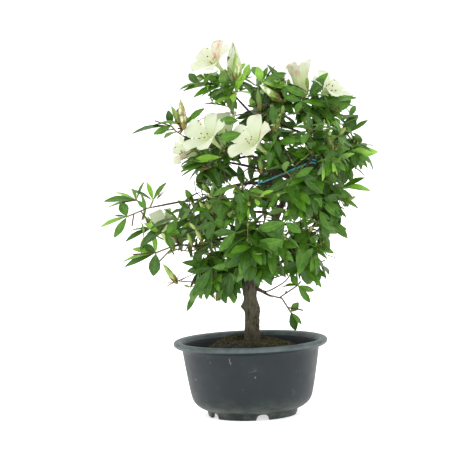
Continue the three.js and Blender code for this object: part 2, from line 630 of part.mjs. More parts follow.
// A leaf of four faces: its root at the origin, its two edges level, and its tip along X, hanging. The straight line
// from root to tip is its keel, so the blade arches over it.
function leafGeometry(length, width) {
  const corners = [
    [0, 0, 0],
    [length, 0, -LEAF.hang * length],
    [length * LEAF.widest, -width * 0.5, -LEAF.hang * length * 0.15],
    [length * LEAF.widest, width * 0.5, -LEAF.hang * length * 0.15],
  ];
  return reshape(new THREE.TetrahedronGeometry(1, 0), (corner) => {
    const isFront = corner.x > 0;
    const isHigh = corner.y > 0;
    return vector(corners[(isFront ? 0 : 2) + (isHigh ? 0 : 1)]);
  });
}

// The turn and place that lays a blade along a heading with its upper face towards a direction.
function bladeFrame(root, heading, upper) {
  const x = heading.clone().normalize();
  const y = upper.clone().cross(x).normalize();
  const z = x.clone().cross(y);
  return new THREE.Matrix4().makeBasis(x, y, z).setPosition(root);
}

// Puts leaves round a shoot's end: each turned by the golden angle, opening further from the shoot the older it is,
// and hanging a little. A leaf that doesn't fit is tried again smaller, and then left out.
function shootLeaves(twigs, tip) {
  const { place, heading } = twigs.points[tip];
  const dice = twigs.dice;
  const side = new THREE.Vector3(1, 0, 0).cross(heading).normalize();
  const start = dice.roll() * 2 * Math.PI;
  for (let i = 0; i < LEAF.perShoot; i += 1) {
    const out = side.clone().applyAxisAngle(heading, start + i * GOLDEN_ANGLE);
    const tilt = radians(valueAlong(LEAF.tilt, i / (LEAF.perShoot - 1)) + dice.between([-LEAF.jitter, LEAF.jitter]));
    const length = dice.between(LEAF.length);
    const lean = heading.clone().multiplyScalar(Math.cos(tilt)).addScaledVector(out, Math.sin(tilt));
    lean.addScaledVector(UP, -twigs.space.droop * (0.8 + 0.2 * dice.roll())).normalize();
    const upper = heading.clone().addScaledVector(UP, 0.8);
    const root = place.clone().addScaledVector(heading, -0.6 - i * LEAF.spacing);
    for (const share of LEAF.tries) {
      const leaf = layLeaf(root, lean, upper, length * share);
      if (isLeafFree(twigs, leaf)) {
        twigs.leaves.push(leaf);
        break;
      }
    }
  }
}

// A leaf's frame and size, with the edges and faces of its blade from just off the shoot.
function layLeaf(root, lean, upper, length) {
  const width = length * LEAF.width;
  const frame = bladeFrame(root, lean, upper);
  const [heel, left, right, tip] = [
    [3, 0, 0],
    [length * LEAF.widest, width * 0.5, -LEAF.hang * length * 0.15],
    [length * LEAF.widest, -width * 0.5, -LEAF.hang * length * 0.15],
    [length, 0, -LEAF.hang * length],
  ].map((corner) => vector(corner).applyMatrix4(frame));
  return {
    frame, length, width, heel, tip,
    corners: [left, right, tip],
    edges: [[heel, left], [left, tip], [tip, right], [right, heel]],
    faces: [[heel, left, right], [tip, left, right]],
  };
}

// Whether a straight stretch passes through a triangle.
function isPierced([from, to], [a, b, c]) {
  const heading = to.clone().sub(from);
  const reach = heading.length();
  const hit = new THREE.Ray(from, heading.normalize()).intersectTriangle(a, b, c, false, new THREE.Vector3());
  return hit !== null && hit.distanceTo(from) < reach;
}

function bladesCross(one, other) {
  return one.edges.some((edge) => other.faces.some((face) => isPierced(edge, face)))
    || other.edges.some((edge) => one.faces.some((face) => isPierced(edge, face)));
}

// Whether a leaf keeps to its space and clears the twigs, the other leaves, the limbs and the room before flowers.
function isLeafFree(twigs, leaf) {
  return leaf.corners.every((corner) => isInOwnSpace(twigs.name, corner) && !isInBloomRoom(corner))
    && !touchesLimb(leaf.heel, leaf.tip, leaf.width * 0.45)
    && !twigs.stretches().some((stretch) => leaf.faces.some((face) => isPierced(stretch, face)))
    && !twigs.leaves.some((other) => other.heel.distanceTo(leaf.heel) < 60 && bladesCross(leaf, other));
}

function leafSolid({ frame, length, width }) {
  return toSolid(leafGeometry(length, width).applyMatrix4(frame));
}

// A flower: a trumpet with five petals, from a ball whose lower pole is its foot, whose upper pole is its throat
// and whose middle ring is the petals' edge, three points to a petal.
function flowerSolid({ foot, facing, length, open }) {
  const points = PETALS.out.length;
  const ball = new THREE.SphereGeometry(1, PETALS.count * points, 2);
  const shut = 1 - open;
  const trumpet = reshape(ball, (point) => {
    if (point.y < -0.5) return new THREE.Vector3(0, -1, 0);
    if (point.y > 0.5) return new THREE.Vector3(0, length * PETALS.throat, 0);
    const step = (2 * Math.PI) / (PETALS.count * points);
    const corner = Math.round(Math.atan2(point.z, point.x) / step + PETALS.count * points) % points;
    const out = length * PETALS.out[corner] * (1 - PETALS.furl[0] * shut);
    return new THREE.Vector3(point.x * out, length * (PETALS.forward[corner] + PETALS.furl[1] * shut), point.z * out);
  });
  const turn = new THREE.Quaternion().setFromUnitVectors(new THREE.Vector3(0, 1, 0), vector(facing).normalize());
  return toSolid(trumpet.applyQuaternion(turn).translate(...foot));
}

// A bud: a spindle, fullest below its middle, on its scales.
function budSolid({ foot, facing, length }) {
  const middle = BUD_SECTION.map(([out, along]) => [length * out, length * along]);
  const profile = [[0, -2], ...middle, [0, length]].map(([r, z]) => new THREE.Vector2(r, z));
  const bud = new THREE.LatheGeometry(profile, 4).rotateX(Math.PI / 2);
  const turn = new THREE.Quaternion().setFromUnitVectors(UP, vector(facing).normalize());
  return toSolid(bud.applyQuaternion(turn).translate(...foot));
}

// One run of twig as a three-sided taper through its points.
function twigSolid(twigs, path, radii) {
  const points = path.map((index) => twigs.points[index].place);
  const curve = points.length > 2
    ? new THREE.CatmullRomCurve3(points, false, 'centripetal')
    : new THREE.LineCurve3(...points);
  const startRadius = path[0] === 0 ? radii[0] : radii[path[1]];
  const ringRadii = path.map((index, i) => (i === 0 ? startRadius : radii[index]));
  const radiusAt = (share) => valueAlong(ringRadii, share) * TWIG.stoutness;
  return toSolid(limbGeometry(curve, radiusAt, TWIG.sides, path.length - 1));
}

// One mass of foliage: its twigs with leaves, flowers and buds fused on.
function makeFoliage(name) {
  const twigs = new Twigs(name);
  twigs.growAll();
  const radii = twigs.radii();
  const parts = twigs.paths.map((path) => twigSolid(twigs, path, radii));
  for (const tip of twigs.shoots) shootLeaves(twigs, tip);
  parts.push(...twigs.leaves.map(leafSolid));
  parts.push(...FLOWERS.filter((f) => f.space === name).map(flowerSolid));
  parts.push(...BUDS.filter((b) => b.space === name).map(budSolid));
  return largestBody(wasm.Manifold.union(parts).simplify(SMALLEST_EDGE));
}

// A bough as one taper, cut back so that its foot stands just clear of the limb it leaves.
function makeBough(name) {
  const { curve, radiusAt } = limbs[name];
  const parent = limbs[BOUGHS[name].from];
  const steps = Math.max(3, Math.round(curve.getLength() / 22));
  const bough = toSolid(limbGeometry(curve, radiusAt, BOUGH_SIDES, steps));
  const isTrunk = BOUGHS[name].from === 'trunk';
  const grown = (share, centre, out) => parent.radiusAt(share, centre) * 1.02
    + (isTrunk ? knotBulge(centre.z, out) : 0) + CLEARANCE;
  const [sides, rings] = isTrunk ? [TRUNK.sides, TRUNK.steps] : [8, 12];
  const cut = bough.subtract(toSolid(limbGeometry(parent.curve, grown, sides, rings)));
  return largestBody(cut.simplify(SMALLEST_EDGE));
}

// The trunk with its knots, cut flat where it stands on the soil.
function makeTrunk() {
  const flare = ({ z }, out) => TRUNK.flare * Math.cos(3 * Math.atan2(out.y, out.x))
    * Math.max(0, (TRUNK.flareTop - z) / TRUNK.flareFall);
  const radiusAt = (share, centre, out) => trunkRadius(centre.z) + knotBulge(centre.z, out) + flare(centre, out);
  const whole = toSolid(limbGeometry(trunkCurve, radiusAt, TRUNK.sides, TRUNK.steps));
  return whole.trimByPlane([0, 0, 1], SOIL.seatHeight + CLEARANCE);
}

// Points on part of a turn round a limb, clear of its skin. The turn starts at the front and goes to the right.
function windings(limb, share, turns, rise) {
  const centre = limb.curve.getPointAt(share);
  const axis = limb.curve.getTangentAt(share).normalize();
  const front = new THREE.Vector3(0, -1, 0).addScaledVector(axis, axis.y).normalize();
  const radius = limb.radiusAt(share, centre) * WIRE.swell + WIRE.radius + WIRE.gap;
  const count = Math.ceil(Math.abs(turns) * WIRE.pointsPerTurn);
  return Array.from({ length: count + 1 }, (_, i) => centre.clone()
    .addScaledVector(front.clone().applyAxisAngle(axis, (i / count) * turns * 2 * Math.PI), radius)
    .addScaledVector(axis, rise * (i / count)));
}

// The wire: wound round the trunk, drawn down to the left in front of the crown and hooked round the long bough.
function makeWire() {
  const loop = windings(limbs.trunk, shareAtHeight(trunkCurve, WIRE.loopHeight), WIRE.turns, WIRE.loopRise);
  const hook = windings(limbs.far_left, WIRE.hookShare, WIRE.hookTurns, WIRE.hookRise);
  const route = new THREE.CatmullRomCurve3([...loop.reverse(), ...hook], false, 'centripetal');
  return limbGeometry(route, () => WIRE.radius, WIRE.sides, WIRE.steps);
}

function material([colour, roughness], name) {
  return new THREE.MeshStandardMaterial({ color: colour, roughness, metalness: 0, name });
}

const azalea = new THREE.Group();
azalea.name = 'potted_azalea';

function addMesh(name, geometry, colour) {
  const mesh = new THREE.Mesh(geometry, material(COLOURS[colour], colour));
  mesh.name = name;
  azalea.add(mesh);
}

layOutLimbs();
addMesh('pot', makePot(), 'pot');
addMesh('root_ball', makeSoil(), 'soil');
addMesh('trunk', toGeometry(makeTrunk()), 'bark');
for (const name of Object.keys(BOUGHS)) {
  addMesh(`bough_${name}`, toGeometry(makeBough(name)), 'bark');
}
for (const name of Object.keys(SPACES)) {
  addMesh(`foliage_${name}`, toGeometry(makeFoliage(name)), 'leaf');
}
addMesh('tie_wire', makeWire(), 'wire');

export default azalea;
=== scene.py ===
# %% [markdown]
# # A potted satsuki azalea in white blossom
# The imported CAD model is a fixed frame: pot, root ball, trunk, boughs and 25 masses of foliage, at their
# real size in metres. Blender dresses it. The rigid shapes are made again with their fine detail. Each mass
# of foliage is grown again by the rule that made its solid, then carried on to finer twigs with leaves of
# life size.

# %% Load the frame
import json
import math

import bmesh
import bpy
import numpy as np
from mathutils import Matrix, Vector, noise

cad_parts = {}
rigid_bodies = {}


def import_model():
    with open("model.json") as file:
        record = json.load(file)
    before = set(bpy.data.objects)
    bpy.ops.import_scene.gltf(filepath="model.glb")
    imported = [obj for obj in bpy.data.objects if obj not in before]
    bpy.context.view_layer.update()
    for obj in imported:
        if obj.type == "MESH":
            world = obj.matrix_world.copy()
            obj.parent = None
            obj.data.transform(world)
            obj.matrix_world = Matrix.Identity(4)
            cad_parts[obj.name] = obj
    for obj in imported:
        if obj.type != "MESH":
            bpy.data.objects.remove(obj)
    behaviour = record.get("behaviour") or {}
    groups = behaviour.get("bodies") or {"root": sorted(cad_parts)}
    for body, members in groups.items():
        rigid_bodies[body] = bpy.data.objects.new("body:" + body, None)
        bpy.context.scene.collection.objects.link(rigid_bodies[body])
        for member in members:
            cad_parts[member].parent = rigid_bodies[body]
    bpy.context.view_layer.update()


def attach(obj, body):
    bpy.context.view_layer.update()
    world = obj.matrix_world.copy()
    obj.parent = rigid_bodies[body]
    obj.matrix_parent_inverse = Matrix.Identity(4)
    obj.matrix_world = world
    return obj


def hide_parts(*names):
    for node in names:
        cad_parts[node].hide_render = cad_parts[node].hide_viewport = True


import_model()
MM = 0.001
UP = Vector((0, 0, 1))
GOLDEN_ANGLE = math.pi * (3 - math.sqrt(5))


# %% [markdown]
# ## Camera, floor and light
# The photograph looks almost level at the plant, from about two and a half metres, slightly turned. A long
# lens keeps the pot's rim narrow. The light is that of a white studio: a bright surround, one large soft box
# from the upper left, a weaker one from the right and one from behind. An emissive white world is simpler
# than many lamps, and it gives the pot the pale reflections that its edges show.

# %% Camera
CAMERA = {"place": (-23.8, -2481.0, 395.0), "pitch": 4.0, "roll": 2.0, "lens": 170.2, "sensor": 36.0}
camera_data = bpy.data.cameras.new("camera")
camera_data.lens = CAMERA["lens"]
camera_data.sensor_width = CAMERA["sensor"]
camera = bpy.data.objects.new("camera", camera_data)
tilt = Matrix.Rotation(math.radians(90 - CAMERA["pitch"]), 4, "X")
roll = Matrix.Rotation(math.radians(-CAMERA["roll"]), 4, "Z")
camera.matrix_world = Matrix.Translation(Vector(CAMERA["place"]) * MM) @ tilt @ roll
scene = bpy.context.scene
scene.collection.objects.link(camera)
scene.camera = camera
scene.view_settings.view_transform = "Standard"
print("camera at", [round(c, 3) for c in camera.location])

# %% Floor, lamps and world
SHARP = 50.0
# Name, place, aim and size in metres, and power in watts.
LAMPS = [("key", (-0.9, -1.5, 1.9), (0, 0, 0.25), 1.1, 8), ("fill", (1.7, -1.4, 0.8), (0, 0, 0.25), 1.4, 4),
         ("back", (0.2, 1.6, 1.9), (0, 0, 0.3), 1.6, 4)]


def link(name, data):
    """An object at the origin that shows a mesh or a curve, or holds a lamp."""
    thing = bpy.data.objects.new(name, data)
    scene.collection.objects.link(thing)
    return thing


def mesh_from(bm, name, unit=1.0):
    """A finished bmesh as a mesh, smooth except across sharp corners. The unit is MM for millimetres."""
    bmesh.ops.scale(bm, vec=(unit, unit, unit), verts=bm.verts[:])
    mesh = bpy.data.meshes.new(name)
    bm.to_mesh(mesh)
    bm.free()
    mesh.shade_smooth()
    mesh.set_sharp_from_angle(angle=math.radians(SHARP))
    return mesh


def set_sockets(node, values):
    """Gives a node's sockets their numbers and colours, by name."""
    for socket, value in values.items():
        node.inputs[socket].default_value = value


bm = bmesh.new()
bmesh.ops.create_circle(bm, cap_ends=True, segments=64, radius=80.0)
floor = link("floor", mesh_from(bm, "floor"))
floor_finish = bpy.data.materials.new("pale_floor")
floor_finish.use_nodes = True
set_sockets(floor_finish.node_tree.nodes["Principled BSDF"], {
    "Base Color": (0.98, 0.98, 0.98, 1), "Roughness": 0.9, "Emission Color": (1, 1, 1, 1),
    "Emission Strength": 0.6})
floor.data.materials.append(floor_finish)

for name, place, aim, size, power in LAMPS:
    lamp = bpy.data.lights.new(name, "AREA")
    lamp.size, lamp.energy = size, power
    thing = link(name, lamp)
    thing.location = place
    thing.rotation_euler = (Vector(aim) - Vector(place)).to_track_quat("-Z", "Y").to_euler()
world = bpy.data.worlds.new("white_studio")
world.use_nodes = True
set_sockets(world.node_tree.nodes["Background"], {"Color": (1, 1, 1, 1), "Strength": 1.15})
scene.world = world
print("lamps:", len(bpy.data.lights))

# %% [markdown]
# ## How finishes are made
# Every finish is one Principled shader. Colours that vary come from noise on Object coordinates, which are
# metres here, so a scale of 100 gives patches about a centimetre wide. A small class keeps each recipe short:
# it holds the node tree and adds a noise, a ramp, a blend or a bump when asked. Seven finishes need only two
# colours in soft patches and a bump, so one function makes them all.

# %% Finishes
def tint(red, green, blue):
    """A colour as seen on a screen, 0 to 255, as the linear numbers that Blender mixes."""
    shares = [c / 255 for c in (red, green, blue)]
    return tuple(((c + 0.055) / 1.055) ** 2.4 if c > 0.04 else c / 12.92 for c in shares) + (1.0,)


class Finish:
    """A material with one Principled shader, built up by short calls. Colours are as seen on a screen."""

    def __init__(self, name, roughness, colour=None):
        self.material = bpy.data.materials.new(name)
        self.material.use_nodes = True
        self.nodes, self.links = self.material.node_tree.nodes, self.material.node_tree.links
        self.shader = self.nodes["Principled BSDF"]
        set_sockets(self.shader, {"Roughness": roughness})
        if colour:
            set_sockets(self.shader, {"Base Color": tint(*colour)})

    def add(self, kind, sockets=None, **settings):
        node = self.nodes.new(kind)
        for key, value in settings.items():
            setattr(node, key, value)
        set_sockets(node, sockets or {})
        return node

    def feed(self, socket, value):
        """Gives a socket a number, a colour or the output of another node."""
        if isinstance(value, bpy.types.NodeSocket):
            self.links.new(value, socket)
        else:
            socket.default_value = tint(*value) if isinstance(value, tuple) else value

    def coordinates(self, stretch=(1, 1, 1), uv=False):
        source = self.add("ShaderNodeTexCoord").outputs["UV" if uv else "Object"]
        mapping = self.add("ShaderNodeMapping", {"Scale": stretch})
        self.links.new(source, mapping.inputs["Vector"])
        return mapping.outputs["Vector"]

    def coordinate(self, axis, uv=False):
        """One coordinate by itself, X, Y or Z."""
        node = self.add("ShaderNodeSeparateXYZ")
        self.links.new(self.coordinates(uv=uv), node.inputs["Vector"])
        return node.outputs[axis]

    def noise(self, scale, detail=3.0, rough=0.6, stretch=(1, 1, 1), uv=False):
        node = self.add("ShaderNodeTexNoise", {"Scale": scale, "Detail": detail, "Roughness": rough})
        self.links.new(self.coordinates(stretch, uv), node.inputs["Vector"])
        return node.outputs["Fac"]

    def attribute(self, name):
        return self.add("ShaderNodeAttribute", attribute_name=name).outputs["Fac"]

    def ramp(self, value, stops):
        """A colour for a value, from (place, colour) stops."""
        node = self.add("ShaderNodeValToRGB")
        elements = node.color_ramp.elements
        while len(elements) < len(stops):
            elements.new(0.5)
        for element, (place, colour) in zip(elements, stops):
            element.position, element.color = place, tint(*colour)
        self.links.new(value, node.inputs["Fac"])
        return node.outputs["Color"]

    def step(self, value, low, high):
        """0 where the value is low, 1 where it is high and smooth between. Low may be the larger number."""
        node = self.add("ShaderNodeMapRange", {"From Min": low, "From Max": high},
                        interpolation_type="SMOOTHSTEP")
        self.links.new(value, node.inputs["Value"])
        return node.outputs["Result"]

    def patches(self, grain, low, high, strength=None):
        """Soft patches: 0 where a noise is low and 1 where it is high, times a strength if one is given."""
        soft = self.step(self.noise(*grain), low, high)
        return soft if strength is None else self.times(soft, strength)

    def times(self, one, other):
        node = self.add("ShaderNodeMath", operation="MULTIPLY")
        for socket, value in zip(node.inputs, (one, other)):
            self.feed(socket, value)
        return node.outputs["Value"]

    def blend(self, share, under, over):
        """under where share is 0, over where it is 1. Each is a colour or an output of a node."""
        node = self.add("ShaderNodeMix", data_type="RGBA")
        self.links.new(share, node.inputs["Factor"])
        for socket, value in zip([s for s in node.inputs if s.type == "RGBA"], (under, over)):
            self.feed(socket, value)
        return next(s for s in node.outputs if s.type == "RGBA")

    def colour(self, output):
        self.links.new(output, self.shader.inputs["Base Color"])

    def roughness(self, value, low, high):
        node = self.add("ShaderNodeMapRange", {"To Min": low, "To Max": high})
        self.links.new(value, node.inputs["Value"])
        self.links.new(node.outputs["Result"], self.shader.inputs["Roughness"])

    def bump(self, height, distance, strength=0.5):
        node = self.add("ShaderNodeBump", {"Distance": distance, "Strength": strength})
        self.links.new(height, node.inputs["Height"])
        self.links.new(node.outputs["Normal"], self.shader.inputs["Normal"])


def mottled(name, roughness, grain, under, over, soft=(0.35, 0.65), relief=None):
    """A finish of two colours in soft patches. A relief is a noise, its depth in metres and its strength."""
    finish = Finish(name, roughness)
    finish.colour(finish.blend(finish.patches(grain, *soft), under, over))
    if relief:
        grain, depth, strength = relief
        finish.bump(finish.noise(*grain), depth, strength)
    return finish


def dress(thing, nodes, slot_name, *finishes):
    """Gives a piece its finishes and its place in the frame, and hides the CAD nodes that it stands for."""
    for finish in finishes:
        thing.data.materials.append(finish.material)
    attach(thing, "root")
    if nodes:
        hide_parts(*nodes)
    triangles = sum(len(p.vertices) - 2 for p in thing.data.polygons)
    print(f"{thing.name}: {triangles} triangles")

# %% [markdown]
# ## The pot
# A round nursery pot of dark grey-green plastic, with a rolled rim and a notched foot ring. A half section
# turned round an axis is how such a pot's mould is drawn, so spin is the natural operator. The foot ring is
# spun as its own section with many steps, and its lower edge is raised where a notch is. Cutting the notches
# with a Boolean would work too, but it leaves long thin faces that shade badly on a round wall.

# %% Turn a section into a round shape
def spun(section, steps, closed=False):
    """A bmesh of a section of (radius, height) points in millimetres, turned round the Z axis."""
    bm = bmesh.new()
    verts = [bm.verts.new((r, 0, z)) for r, z in section]
    pairs = list(zip(verts, verts[1:])) + ([(verts[-1], verts[0])] if closed else [])
    edges = [bm.edges.new(pair) for pair in pairs]
    bmesh.ops.spin(bm, geom=verts + edges, cent=(0, 0, 0), axis=(0, 0, 1), dvec=(0, 0, 0),
                   angle=2 * math.pi, steps=steps, use_merge=True)
    bmesh.ops.remove_doubles(bm, verts=bm.verts[:], dist=1e-4)
    bmesh.ops.recalc_face_normals(bm, faces=bm.faces[:])
    return bm


def arc(centre, radius, start, end, count):
    """Points on an arc of a section, from one angle to another in degrees."""
    angles = [math.radians(start + (end - start) * i / (count - 1)) for i in range(count)]
    return [(centre[0] + radius * math.cos(a), centre[1] + radius * math.sin(a)) for a in angles]


def swept(a, b, c, d, count):
    """Points of a section from a to d, on a smooth curve that is drawn towards b and c."""
    shares = [i / (count - 1) for i in range(count)]
    return [tuple((1 - t) ** 3 * p + 3 * (1 - t) ** 2 * t * q + 3 * (1 - t) * t * t * r + t ** 3 * s
                  for p, q, r, s in zip(a, b, c, d)) for t in shares]


POT_WALL, FLOOR_BOTTOM, FLOOR_TOP = 2.0, 6, 8.6
corner = swept((53, 7.2), (62, 10.2), (69, 15), (70.8, 24), 10)
wall = [(71.8, 28.5), (74.1, 40.3), (76, 52), (77.9, 63.7), (79.2, 72.5)]
rim = [(79.9, 77.2), (80.8, 78.9), (82.6, 80.1), (85, 80.9), (87.2, 81.5),
       *arc((86.6, 85.2), 3.4, -70, 100, 9), (83.6, 88.3), (81.6, 87.7), (80.1, 86.4), (78.9, 84),
       (78.1, 80.5)]
lining = [(r - POT_WALL, z + POT_WALL * 0.4) for r, z in reversed(corner + wall)]
bowl_section = [(0, FLOOR_BOTTOM), (44, FLOOR_BOTTOM), (46, 7.2), *corner, *wall, *rim, *lining,
                (46, FLOOR_TOP), (0, FLOOR_TOP)]
print("bowl section:", len(bowl_section), "points")

# %% The bowl, with its drain holes
CENTRE_DRAIN, DRAIN_RADIUS, DRAIN_RING, DRAINS, NOTCH_TURN = 7, 4.2, 32.0, 5, 12.6
DRILL_LENGTH, DRILL_MIDDLE = 9, 7
bowl = link("pot", mesh_from(spun(bowl_section, steps=192), "pot", MM))


def add_bit(bm, x, y, radius, sides):
    """Adds an upright round bit, long enough to go right through the pot's floor."""
    bmesh.ops.create_cone(bm, cap_ends=True, segments=sides, radius1=radius, radius2=radius,
                          depth=DRILL_LENGTH, matrix=Matrix.Translation((x, y, DRILL_MIDDLE)))


bm = bmesh.new()
add_bit(bm, 0, 0, CENTRE_DRAIN, 32)
apart = 360 / DRAINS
for i in range(DRAINS):
    turn = math.radians(NOTCH_TURN + apart / 2 + apart * i)
    add_bit(bm, DRAIN_RING * math.sin(turn), -DRAIN_RING * math.cos(turn), DRAIN_RADIUS, 24)
drill = link("drill", mesh_from(bm, "drill", MM))


def carve(thing, tool):
    """Cuts a tool's shape out of a piece, for good, and removes the tool."""
    cut = thing.modifiers.new("cut", "BOOLEAN")
    cut.operation, cut.solver, cut.object = "DIFFERENCE", "EXACT", tool
    done = bpy.data.meshes.new_from_object(thing.evaluated_get(bpy.context.evaluated_depsgraph_get()))
    thing.modifiers.clear()
    thing.data = done
    bpy.data.objects.remove(tool)


carve(bowl, drill)
print("bowl faces:", len(bowl.data.polygons))

# %% The foot ring, with five rounded notches
NOTCHES, NOTCH_HALF, NOTCH_HEIGHT, NOTCH_SHAPE, FOOT_RADIUS, FOOT_TOP = 5, 7.85, 6.4, 2.8, 51, 7.6
foot_section = [(53.1, FOOT_TOP), (52.6, 4), (52.2, 2), (51.8, 0.5), (51.3, 0), (48.6, 0), (48.1, 0.5),
                (48.4, 2), (48.8, 4), (49.4, FOOT_TOP)]
bm = spun(foot_section, steps=720, closed=True)
apart = 360 / NOTCHES
for vert in bm.verts:
    turn = math.degrees(math.atan2(vert.co.x, -vert.co.y)) - NOTCH_TURN
    from_notch = abs((turn + apart / 2) % apart - apart / 2) * math.pi / 180 * FOOT_RADIUS
    if from_notch < NOTCH_HALF:
        arch = NOTCH_HEIGHT * math.sqrt(1 - (from_notch / NOTCH_HALF) ** NOTCH_SHAPE)
        vert.co.z = arch + vert.co.z * (FOOT_TOP - arch) / FOOT_TOP
foot_mesh = mesh_from(bm, "foot", MM)
bm = bmesh.new()
bm.from_mesh(bowl.data)
bm.from_mesh(foot_mesh)
bowl.data = mesh_from(bm, "pot")
print("pot faces:", len(bowl.data.polygons))

# %% [markdown]
# The plastic is old: a faint pale bloom of dust and lime, thicker low on the wall, with short scuffs and a
# few white specks. The rim's top is paler too, partly from dust and partly from a painted highlight where
# light falls.
# Noises of different sizes make bloom, scuffs and specks. The dust and the rim's pale top are dealt by
# height, which is the Z of the Object coordinates.

# %% Pot finish
# Heights in metres where the pale tint begins: dust low on the wall, and dust with a painted highlight on the
# rim's top.
LOW_DUST, RIM_DUST_AND_SHEEN = (0.034, 0.006), (0.0825, 0.0838)
plastic = Finish("pot_plastic", 0.45)
set_sockets(plastic.shader, {"Specular IOR Level": 0.33})
height = plastic.coordinate("Z")
bloom = plastic.patches((26, 5, 0.62), 0.42, 0.75, 0.55)
dust = plastic.patches((40, 5, 0.7, (1, 1, 2.4)), 0.36, 0.7)
low_dust = plastic.times(plastic.step(height, *LOW_DUST), dust)
# The rim's top: dust, and a painted highlight where the light falls on it.
rim_dust_and_sheen = plastic.times(plastic.step(height, *RIM_DUST_AND_SHEEN), plastic.patches((60, 4, 0.6), 0.1, 0.7))
scuffs = plastic.patches((46, 6, 0.75, (1, 1, 3)), 0.6, 0.72, 0.6)
specks = plastic.patches((150, 4, 0.62, (1, 1, 0.6)), 0.68, 0.76, 0.7)
coloured = plastic.blend(bloom, (21, 30, 33), (34, 45, 49))
for share, over in ((low_dust, (66, 73, 65)), (rim_dust_and_sheen, (84, 97, 97)), (scuffs, (86, 96, 93)),
                    (specks, (132, 140, 134))):
    coloured = plastic.blend(share, coloured, over)
plastic.colour(coloured)
plastic.roughness(plastic.noise(60, 4), 0.36, 0.6)
plastic.bump(plastic.noise(420, 3, 0.6), 0.00018, 0.35)
dress(bowl, ["pot"], "pot", plastic)

# %% [markdown]
# ## The root ball
# Peat that has settled into a low mound behind the trunk and fallen away towards the pot's wall. Its top is
# the CAD surface made finer, with crumbs standing out of it and short moss in patches. The crumbs and moss
# are small shapes laid out in arrays and joined, because an object for each would be slow.

# %% A seeded dice, as in the frame's source
class Dice:
    """The same seed always gives the same rolls from 0 to 1."""

    SPREAD, TIMES, PLUS, SIDES = 2654435761, 1664525, 1013904223, 2 ** 32

    def __init__(self, seed):
        self.state = (seed + 1) * self.SPREAD % self.SIDES
        self.roll()

    def roll(self):
        self.state = (self.state * self.TIMES + self.PLUS) % self.SIDES
        return self.state / self.SIDES

    def between(self, low, high):
        return low + (high - low) * self.roll()


def smooth_share(value, low, high):
    """0 below low, 1 above high and smooth between."""
    share = min(1.0, max(0.0, (value - low) / (high - low)))
    return share * share * (3 - 2 * share)


print("first roll of seed 1:", round(Dice(1).roll(), 3))

# %% The soil's surface
# In millimetres: the trunk's foot, the level seat under it, the fall to the wall, and the mound behind.
TRUNK_FOOT = 1.5
SEAT, FALL = {"level": 85.7, "edge": (12, 21)}, {"level": 69, "edge": (25.3, 79.6)}
MOUND = {"place": (-16, 26), "spread": (30, 26), "height": 5}
# The section's flat top before it is shaped, and the clods: how fine, how high and how far out they begin.
TOP, CLODS = 86.0, {"fine": 0.16, "height": 1.1, "edge": (8, 16)}


def soil_height(x, y):
    """The root ball's top: a flat seat for the trunk, a mound, slow lumps, and a fall to the wall."""
    away = math.hypot(x - TRUNK_FOOT, y)
    (mid_x, mid_y), (wide, deep) = MOUND["place"], MOUND["spread"]
    rise = math.exp(-(((x - mid_x) / wide) ** 2) - ((y - mid_y) / deep) ** 2) * MOUND["height"]
    lump = 0.9 * math.sin(x * 0.21 + 1.3) * math.cos(y * 0.24) + 0.5 * math.sin(x * 0.47 + y * 0.39)
    fall, seat = smooth_share(away, *FALL["edge"]), smooth_share(away, *SEAT["edge"])
    height = (SEAT["level"] + rise + lump) * (1 - fall) + (FALL["level"] + lump) * fall
    return SEAT["level"] * (1 - seat) + height * seat


soil_section = [(0, TOP)] + [(1.4 + 1.25 * i, TOP) for i in range(60)]
soil_section += [(75.9, 64), (73, 45), (70.2, 27), (64, 17), (48, 9.1), (0, 9.1)]
bm = spun(soil_section, steps=150)
for vert in bm.verts:
    if vert.co.z > TOP - 0.01:
        x, y, _ = vert.co
        clods = noise.fractal(Vector((x, y, 3.1)) * CLODS["fine"], 0.8, 2.1, 4) * CLODS["height"]
        vert.co.z = soil_height(x, y) + clods * smooth_share(math.hypot(x, y), *CLODS["edge"])
soil = link("root_ball", mesh_from(bm, "root_ball", MM))

peat = Finish("peat", 0.95)
grain = peat.noise(420, 4, 0.7)
ground = peat.blend(peat.step(grain, 0.3, 0.7), (22, 19, 12), (50, 43, 29))
peat.colour(peat.blend(peat.patches((60, 4, 0.6), 0.5, 0.7), ground, (50, 50, 28)))
peat.bump(grain, 0.0012, 0.9)
dress(soil, ["root_ball"], "soil", peat)

# %% Small shapes joined from arrays
def stamp(bm):
    """A small shape's points and faces, to be repeated in arrays."""
    bmesh.ops.recalc_face_normals(bm, faces=bm.faces[:])
    bm.verts.ensure_lookup_table()
    points = np.array([v.co[:] for v in bm.verts])
    faces = [[v.index for v in f.verts] for f in bm.faces]
    bm.free()
    return points, faces


def joined(name, faces, copies, looks=None, sharp=SHARP, rib=None):
    """One mesh from copies of a shape: an array of (copy, point, xyz) in millimetres. looks has a finish
    number for each face of each copy, and rib a number for each point of the shape."""
    count, size = copies.shape[:2]
    all_faces = [[i + size * c for i in face] for c in range(count) for face in faces]
    mesh = bpy.data.meshes.new(name)
    mesh.from_pydata((copies.reshape(-1, 3) * MM).tolist(), [], all_faces)
    if looks is not None:
        mesh.polygons.foreach_set("material_index", np.asarray(looks, np.int32).ravel())
    if rib is not None:
        values = np.tile(rib, count).astype(np.float32)
        mesh.attributes.new("rib", "FLOAT", "POINT").data.foreach_set("value", values)
    mesh.shade_smooth()
    mesh.set_sharp_from_angle(angle=math.radians(sharp))
    return mesh


def placed(points, matrices):
    """Copies of a shape's points, one for each 4 by 4 matrix."""
    grids = np.array([np.array(m) for m in matrices])
    return np.einsum("cij,pj->cpi", grids[:, :3, :3], points) + grids[:, None, :3, 3]


def stood(place, way, size, turn=0.0):
    """The matrix that stands a shape at a place, with its +Z along a way, turned about it, at a size."""
    upright = way.to_track_quat("Z", "X").to_matrix().to_4x4() @ Matrix.Rotation(turn, 4, "Z")
    return Matrix.Translation(place) @ upright @ Matrix.Diagonal((*size, 1))

